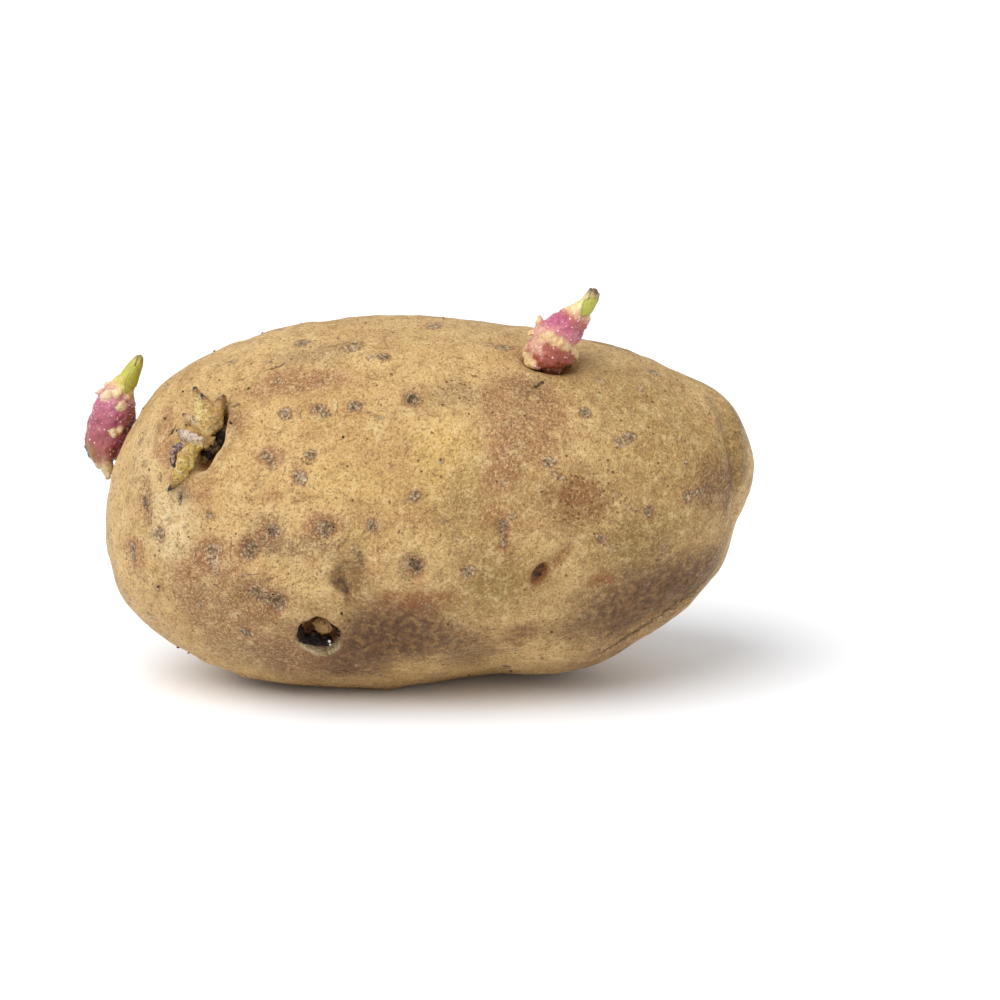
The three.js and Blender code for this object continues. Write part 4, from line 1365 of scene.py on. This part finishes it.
def make_stem(sprout, material):
    """A stem, its neck, its collar and its root nubs fused in one skin and made uneven by noise, with how
    far up it each point is, how much of it is nub, how hollow it lies, and how much of the leaf and of
    each wash lies on it."""
    name = sprout["name"] + "_stem"
    spine = from_eye(sprout, sprout["spine"])
    root_from, root_to, root_radius = sprout["root"]
    root = from_eye(sprout, (root_from, root_to))
    neck, neck_radii = sprout["neck"]
    neck = from_eye(sprout, neck)
    collar_at, collar_radius, collar_height = sprout["collar"]
    collar_up = normal_at(sprout["eye"]["along"], sprout["eye"]["around"])
    parts = [
        spindle(spine, sprout["stem"], 60, 48),
        spindle(neck, neck_radii, 40, 40),
        egg(root.mean(axis=0), root[1] - root[0], root_radius, np.linalg.norm(root[1] - root[0])),
        egg(from_eye(sprout, collar_at), collar_up, collar_radius, collar_height, 1.0, 16, 32),
    ]
    if "spur" in sprout:
        spur, spur_radii = sprout["spur"]
        parts.append(spindle(from_eye(sprout, spur), spur_radii, 30, 24))
    nubs = root_nubs(sprout)
    rng = np.random.default_rng(sprout["seed"] + 1)
    for centre, pointing, size, _ in nubs:
        parts.append(egg(centre, pointing, 0.75 * size, 0.9 * size, rng.uniform(0.9, 1.6)))
        lean = pointing + rng.uniform(-0.9, 0.9, 3)
        parts.append(egg(centre + 0.3 * size * lean, lean, 0.45 * size, 0.65 * size, rng.uniform(0.8, 1.4)))
    piece = make_piece(name, *joined(parts), material, name, "sprout_skin")
    points = fuse(piece, *STEM_SKIN)
    steps = 80
    middle = smooth_path(np.concatenate([spine[:-2], neck[1:]]), steps)
    up, _ = nearest_on_path(points, middle)
    beside = points - middle[(up * (steps - 1)).round().astype(int)]
    up = up - sprout["tilt"] * beside[:, 0]
    nub = np.zeros(len(points))
    for centre, pointing, size, cream in nubs:
        reach = np.linalg.norm(points - (centre + 0.35 * size * pointing), axis=1) / size
        nub = np.maximum(nub, cream * (1 - smoothstep(reach, 0.35, 1.45)))
    cover, edge = on_leaf(sprout, points)
    raise_skin(piece, points, (1 - cover) * relief(points, STEM_RELIEF) + STEM_LEAF_HIGH * cover)
    set_attribute(piece, "growth", up, nub, hollowness(piece))
    set_attribute(piece, "leaf", cover, edge)
    tones = []
    for centre, size, _, _ in sprout["washes"]:
        reach = np.linalg.norm((points - from_eye(sprout, centre)) / np.array(size), axis=1)
        tones.append(1 - smoothstep(reach + 0.35 * lattice_noise(points, 0.9, 33), 0.6, 1.15))
    set_attribute(piece, "tones", *tones)
    make_hairs(sprout, piece)
    return piece


def make_hairs(sprout, stem):
    """Fine hairs over the upper stem: thin three-sided spikes from seeded points of its skin, leaning
    upwards, each a base of three points and a tip."""
    rng = np.random.default_rng(sprout["seed"] + 2)
    points, normals = points_of(stem), normals_of(stem)
    flat = np.empty(3 * len(points))
    stem.data.attributes["growth"].data.foreach_get("vector", flat)
    up, nub, _ = flat.reshape(-1, 3).T
    eligible = np.flatnonzero((up > 0.3) & (up < 0.92) & (nub < 0.3))
    roots = rng.choice(eligible, HAIRS, replace=False)
    length = rng.uniform(*HAIR_LENGTHS, HAIRS)
    astray = rng.uniform(-HAIR_LEAN, HAIR_LEAN, (HAIRS, 3))
    lean = unit(normals[roots] + astray + np.array([0, 0, 0.25]))
    aside = unit(np.cross(lean, [0.2, 0.9, 0.1]))
    other = np.cross(lean, aside)
    angle = np.radians([0, 120, 240])
    cosine, sine = np.cos(angle)[None, :, None], np.sin(angle)[None, :, None]
    ring = HAIR_RADIUS * (cosine * aside[:, None] + sine * other[:, None])
    base = points[roots][:, None] - 0.05 * lean[:, None] + ring
    tips = points[roots] + length[:, None] * lean
    spikes = np.concatenate([base, tips[:, None]], axis=1).reshape(-1, 3)
    start = 4 * np.arange(HAIRS)[:, None, None]
    faces = (start + np.array([[0, 1, 3], [1, 2, 3], [2, 0, 3], [0, 2, 1]])).reshape(-1, 3)
    material = plain_material("sprout_hair", "#e6c9c4", 0.5, 0.5)
    make_piece(sprout["name"] + "_hairs", spikes, faces, material, None, "sprout_skin")


def make_bud(sprout, material, leaves):
    """A bud of folded leaves: a slim core and, round it, leaves that each cover a part of the turn and taper
    to their tips, fused in one skin, with how far up each point is, how hollow it lies, and how much of it is
    on the front leaf."""
    name = sprout["name"] + "_bud"
    axis = from_eye(sprout, sprout["bud"])
    parts = [spindle(axis, [0.85 * r for r in sprout["leaf_radii"]], 50, 36)]
    parts += [leaf_shell(axis, sprout["leaf_radii"], **leaf) for leaf in leaves]
    piece = make_piece(name, *joined(parts), material, name, "bud_leaf")
    points = fuse(piece, *BUD_SKIN)
    up, _ = nearest_on_path(points, smooth_path(axis, 80))
    cover, edge = on_leaf(sprout, points)
    raise_skin(piece, points, BUD_LEAF_HIGH * cover)
    set_attribute(piece, "growth", up, hollowness(piece))
    set_attribute(piece, "leaf", cover, edge)
    return piece


def leaf_shell(axis, radii, facing, span, start, end, proud):
    """A leaf wrapped round a bud: a sheet that covers span degrees each side of facing, from start to end of
    the bud's length, its edges drawn in to a point at the tip, standing proud of the core, and half a
    millimetre thick."""
    rows, columns = 60, 31
    share = np.linspace(start, end, rows)
    centre = smooth_path(axis, 201)
    _, sideways, through = path_frames(centre)
    index = np.clip((share * 200).round().astype(int), 0, 200)
    radius = np.interp(share, np.linspace(0, 1, len(radii)), radii) + proud
    width = np.radians(span) * np.sqrt(np.clip(1 - np.linspace(0, 1, rows) ** 2.2, 0, 1))
    across = np.concatenate([np.linspace(-1, 1, columns), np.linspace(1, -1, columns)])
    inset = np.concatenate([np.zeros(columns), np.full(columns, 0.5)])
    angle = math.radians(facing) + width[:, None] * across[None]
    ring_radius = np.maximum(radius[:, None] - inset[None], 0.1)
    points = (
        centre[index][:, None]
        + (ring_radius * np.cos(angle))[..., None] * sideways[index][:, None]
        + (ring_radius * np.sin(angle))[..., None] * through[index][:, None]
    )
    return closed_rings(points)


def make_lobes(name, lobes, material):
    """Withered lobes fused in one skin and wrinkled by noise, with how near each point is to a dry tip, how
    pale, how tan, how hollow and how scabbed it is."""
    parts, paths = [], []
    for lobe in lobes:
        path = [place_on_skin(*place) for place in lobe["path"]]
        radii = [share * lobe["fat"] for share in lobe["profile"]]
        parts.append(spindle(path, radii, 60, 40, LOBE_FLATNESS, LOBE_RIDGES, LOBE_RIDGE_DEPTH))
        paths.append(smooth_path(path, 40))
    piece = make_piece(name, *joined(parts), material, name, "withered_sprout")
    points = fuse(piece, *LOBE_SKIN)
    found = [nearest_on_path(points, path) for path in paths]
    distance = np.array([away for _, away in found])
    tip = np.choose(distance.argmin(axis=0), [share for share, _ in found])
    weight = np.exp(-distance / 0.3)
    weight /= weight.sum(axis=0)
    pale, tan, scab = (
        weight.T @ np.array([lobe.get(tone, 0.0) for lobe in lobes]) for tone in ("pale", "tan", "scab")
    )
    scab = scab * smoothstep(tip, 0.25, 0.45)
    raise_skin(piece, points, relief(points, LOBE_RELIEF))
    set_attribute(piece, "growth", tip, pale, tan)
    set_attribute(piece, "decay", hollowness(piece), scab)
    return piece


def make_eye_plates(material):
    """The dry plates in the withered eye: flattened eggs that lie in the socket, wrinkled by noise, two small
    pale ones among them painted highlights.
    """
    parts, tones = [], []
    for along, around, lift, radius, thickness, tan in EYE_PLATES:
        centre = place_on_skin(along, around, lift)
        parts.append(egg(centre, normal_at(along, around), radius, thickness, 1.2))
        tones.append((centre, tan))
    piece = make_piece("withered_eye_plates", *joined(parts), material, None, "dead_tissue")
    points = fuse(piece, *PLATE_SKIN)
    nearest = np.argmin([np.linalg.norm(points - centre, axis=1) for centre, _ in tones], axis=0)
    tan = np.choose(nearest, [tone for _, tone in tones])
    raise_skin(piece, points, relief(points, PLATE_RELIEF))
    set_attribute(piece, "growth", tan, hollowness(piece))
    return piece


def make_crumbs(material):
    """Crumbs of soil on the skin: small eggs with seeded sizes and directions, half sunk in the tuber where
    it is nearest to their places."""
    rng = np.random.default_rng(83)
    places = list(CRUMBS)
    places += [(HALF_LENGTH * rng.uniform(-0.95, 0.95), rng.uniform(-180, 180)) for _ in range(STREWN_CRUMBS)]
    tuber = bpy.data.objects.get("potato_tuber")
    if tuber is None:
        raise RuntimeError("The crumbs lie on the tuber's skin: make the tuber first")
    skin, outwards = points_of(tuber), normals_of(tuber)
    parts = []
    for along, around in places:
        nearest = np.linalg.norm(skin - place_on_skin(along, around), axis=1).argmin()
        centre = skin[nearest] + 0.05 * outwards[nearest]
        radius = rng.uniform(*CRUMB_RADII)
        parts.append(egg(centre, rng.normal(size=3), radius, 1.4 * radius, 1.0, 6, 7))
    points, faces = joined(parts)
    points = jittered(points, 0.12, 0.3, (84, 85, 86))
    points[:, 2] = np.maximum(points[:, 2], 0.05)
    return make_piece("soil_crumbs", points, faces, material, None, "dead_tissue")


def make_dead_bud(material):
    """The dead bud's strip, stub and clots fused in one skin, with how much each point belongs to the stub,
    how hollow it lies, and how pale it is: 1 on the two specks that are painted glints."""
    strip = [place_on_skin(*place) for place in DEAD_STRIP]
    centre = place_on_skin(*DEAD_STUB["place"])
    out = normal_at(*DEAD_STUB["place"][:2])
    parts = [
        spindle(strip, DEAD_STRIP_RADII, 40, 24),
        egg(centre, out, DEAD_STUB["radius"], DEAD_STUB["length"]),
    ]
    clots = [(place_on_skin(*row[:3]), row[3], row[4]) for row in DEAD_CLOTS]
    parts += [egg(middle, out, radius, 0.8 * radius) for middle, radius, _ in clots]
    piece = make_piece("dead_bud_tissue", *joined(parts), material, "dead_bud", "dead_tissue")
    points = fuse(piece, *DEAD_SKIN)
    strip_away = nearest_on_path(points, smooth_path(strip, 60))[1]
    stub = smoothstep(strip_away - np.linalg.norm(points - centre, axis=1), -0.9, -0.3)
    pale = np.zeros(len(points))
    # Clots whose last number is 1 are the two near-white specks, painted glints, and get no relief.
    for middle, radius, glint in clots:
        near = np.linalg.norm(points - middle, axis=1) < 1.15 * radius
        stub[near] = 0
        pale[near] = glint
    raise_skin(piece, points, relief(points, DEAD_RELIEF) * (1 - pale))
    set_attribute(piece, "growth", stub, hollowness(piece), pale)
    return piece


# The settings, the operators and the panel

TINT = dict(subtype="COLOR", size=3)


class SkinSettings(bpy.types.PropertyGroup):
    base: bpy.props.FloatVectorProperty(
        name="Base colour", description="Colour of the plain skin", default=linear("#ba9459"), **TINT
    )
    pale: bpy.props.FloatVectorProperty(
        name="Pale colour", description="Colour of the worn skin", default=linear("#d2ae73"), **TINT
    )
    ruddy: bpy.props.FloatVectorProperty(
        name="Ruddy colour", description="Colour of warm blotches", default=linear("#a07043"), **TINT
    )
    fleck: bpy.props.FloatVectorProperty(
        name="Fleck colour", description="Colour of the netting", default=linear("#80582e"), **TINT
    )
    net_size: bpy.props.FloatProperty(
        name="Net size", description="Width of the net's meshes in millimetres", default=1.2, min=0.2, max=5.0
    )
    grain_size: bpy.props.FloatProperty(
        name="Grain size", description="Width of the fine grain in millimetres", default=0.5, min=0.1, max=3.0
    )
    lenticels: bpy.props.IntProperty(
        name="Lenticels", description="How many corky spots are strewn", default=150, min=0, max=600
    )


class StageSettings(bpy.types.PropertyGroup):
    floor_colour: bpy.props.FloatVectorProperty(
        name="Floor colour", description="Colour of the paper sweep", default=(0.94, 0.94, 0.95), **TINT
    )
    key_strength: bpy.props.FloatProperty(
        name="Key strength", description="Strength of the main light", default=2.5, min=0.0, max=20.0
    )
    sky_strength: bpy.props.FloatProperty(
        name="Sky strength", description="Strength of the light all round", default=0.72, min=0.0, max=5.0
    )


class POTATO_OT_tuber(bpy.types.Operator):
    """Makes the tuber with its eyes, scars and skin"""

    bl_idname = "potato.tuber"
    bl_label = "Tuber"

    def execute(self, context):
        make_tuber(context.scene.potato_skin)
        return {"FINISHED"}


class POTATO_OT_fresh_sprouts(bpy.types.Operator):
    """Makes the two fresh sprouts with their root nubs and leaf buds"""

    bl_idname = "potato.fresh_sprouts"
    bl_label = "Fresh sprouts"

    def execute(self, context):
        crown_ramp = (
            (0.0, "#743a22"), (0.14, "#883c2c"), (0.3, "#9e4e3a"), (0.42, "#c2826c"), (0.56, "#c06e7c"),
            (0.66, "#aa4e64"), (0.74, "#b7645c"), (0.8, "#dcb886"), (0.94, "#e6d69c"),
        )
        end_ramp = (
            (0.0, "#c9b184"), (0.06, "#ac8060"), (0.16, "#9a564e"), (0.45, "#a14f5e"), (0.66, "#b5667a"),
            (0.74, "#c58a86"), (0.8, "#d6b07c"), (0.86, "#c8b858"), (0.93, "#b9b146"),
        )
        make_stem(CROWN_SPROUT, sprout_material(CROWN_SPROUT, crown_ramp, "#a4476a", "#d6b880"))
        make_stem(END_SPROUT, sprout_material(END_SPROUT, end_ramp, "#8d3c5c", "#dfcb9c"))
        crown_bud = (
            (0.0, "#e0cc98"), (0.3, "#d6c78c"), (0.6, "#d2c48a"), (0.8, "#b79f6c"), (0.93, "#5d4429"),
        )
        end_bud = (
            (0.0, "#c4b450"), (0.2, "#c2b84a"), (0.5, "#b0ac3e"), (0.8, "#b3a650"), (1.0, "#6e5a2a"),
        )
        make_bud(
            CROWN_SPROUT,
            bud_material(CROWN_SPROUT, crown_bud, "#8f7a44"),
            [
                dict(facing=-75, span=50, start=0.02, end=0.78, proud=0.3),
                dict(facing=-170, span=75, start=0.0, end=0.97, proud=0.12),
                dict(facing=20, span=70, start=0.0, end=0.92, proud=0.05),
                dict(facing=100, span=60, start=0.0, end=0.98, proud=0.15),
            ],
        )
        make_bud(
            END_SPROUT,
            bud_material(END_SPROUT, end_bud, "#827a28"),
            [
                dict(facing=-50, span=48, start=0.1, end=0.99, proud=0.28),
                dict(facing=-140, span=62, start=0.0, end=0.93, proud=0.12),
                dict(facing=60, span=80, start=0.0, end=0.9, proud=0.05),
                dict(facing=150, span=60, start=0.0, end=0.95, proud=0.1),
            ],
        )
        return {"FINISHED"}


class POTATO_OT_withered_sprouts(bpy.types.Operator):
    """Makes the withered sprouts of the older eye"""

    bl_idname = "potato.withered_sprouts"
    bl_label = "Withered sprouts"

    def execute(self, context):
        material = withered_material()
        make_lobes("withered_sprout_upper", WITHERED_UPPER, material)
        make_lobes("withered_sprout_lower", WITHERED_LOWER, material)
        make_eye_plates(dead_material())
        return {"FINISHED"}


class POTATO_OT_dead_bud(bpy.types.Operator):
    """Makes the dead bud in its pit"""

    bl_idname = "potato.dead_bud"
    bl_label = "Dead bud"

    def execute(self, context):
        make_dead_bud(dead_material())
        return {"FINISHED"}


class POTATO_OT_soil_crumbs(bpy.types.Operator):
    """Makes the crumbs of soil on the skin"""

    bl_idname = "potato.soil_crumbs"
    bl_label = "Soil crumbs"

    def execute(self, context):
        make_crumbs(soil_material())
        return {"FINISHED"}


class POTATO_OT_stage(bpy.types.Operator):
    """Makes the paper sweep, the lights and the camera"""

    bl_idname = "potato.stage"
    bl_label = "Stage"

    def execute(self, context):
        settings = context.scene.potato_stage
        make_floor(settings)
        make_lights(context.scene, settings)
        make_camera(context.scene)
        context.scene.view_settings.view_transform = "Standard"
        return {"FINISHED"}


def make_floor(settings):
    """A level square of paper, eight metres wide."""
    half = 4.0
    corners = [(-half, -half, 0), (half, -half, 0), (half, half, 0), (-half, half, 0)]
    mesh = bpy.data.meshes.new("paper_sweep")
    mesh.from_pydata(corners, [], [(0, 1, 2, 3)])
    mesh.materials.append(plain_material("paper_sweep", settings.floor_colour, 0.9, 0.2))
    floor = bpy.data.objects.new("paper_sweep", mesh)
    bpy.context.scene.collection.objects.link(floor)


def make_lights(scene, settings):
    """A broad soft key from the upper left front, and an even, nearly white sky."""
    sun = bpy.data.lights.new("key", "SUN")
    sun.energy = settings.key_strength
    sun.angle = math.radians(55)
    key = bpy.data.objects.new("key", sun)
    key.rotation_euler = (math.radians(36), 0, math.radians(-45))
    scene.collection.objects.link(key)
    world = bpy.data.worlds.new("even_sky")
    world.use_nodes = True
    background = world.node_tree.nodes["Background"]
    background.inputs["Color"].default_value = (0.95, 0.975, 1.0, 1.0)
    background.inputs["Strength"].default_value = settings.sky_strength
    scene.world = world


def make_camera(scene):
    """A long lens at the photo's viewing angle, level from side to side."""
    elevation = math.radians(CAMERA_ELEVATION)
    look = np.array(LOOK_AT) + SHIFT
    place = look + CAMERA_DISTANCE * np.array([0, -math.cos(elevation), math.sin(elevation)])
    lens = bpy.data.cameras.new("camera")
    lens.sensor_width = SENSOR_WIDTH
    lens.lens = SENSOR_WIDTH * CAMERA_DISTANCE / VIEW_WIDTH
    camera = bpy.data.objects.new("camera", lens)
    camera.location = place * MM
    camera.rotation_euler = (math.radians(90) - elevation, 0, 0)
    scene.collection.objects.link(camera)
    scene.camera = camera


OPERATORS = (
    POTATO_OT_tuber,
    POTATO_OT_fresh_sprouts,
    POTATO_OT_withered_sprouts,
    POTATO_OT_dead_bud,
    POTATO_OT_soil_crumbs,
    POTATO_OT_stage,
)


class POTATO_PT_sidebar(bpy.types.Panel):
    """Lists the potato's settings and the operators that make its pieces"""

    bl_idname = "POTATO_PT_sidebar"
    bl_label = "Sprouting potato"
    bl_space_type = "VIEW_3D"
    bl_region_type = "UI"
    bl_category = "Potato"

    def draw(self, context):
        for settings in (context.scene.potato_skin, context.scene.potato_stage):
            for name in settings.__annotations__:
                self.layout.prop(settings, name)
        for operator in OPERATORS:
            self.layout.operator(operator.bl_idname)


CLASSES = (SkinSettings, StageSettings, *OPERATORS, POTATO_PT_sidebar)


def register():
    for each in CLASSES:
        bpy.utils.register_class(each)
    bpy.types.Scene.potato_skin = bpy.props.PointerProperty(type=SkinSettings)
    bpy.types.Scene.potato_stage = bpy.props.PointerProperty(type=StageSettings)


def unregister():
    del bpy.types.Scene.potato_stage
    del bpy.types.Scene.potato_skin
    for each in reversed(CLASSES):
        bpy.utils.unregister_class(each)


def main():
    register()
    bpy.ops.potato.stage()
    bpy.ops.potato.tuber()
    bpy.ops.potato.fresh_sprouts()
    bpy.ops.potato.withered_sprouts()
    bpy.ops.potato.dead_bud()
    bpy.ops.potato.soil_crumbs()


if __name__ == "__main__":
    main()
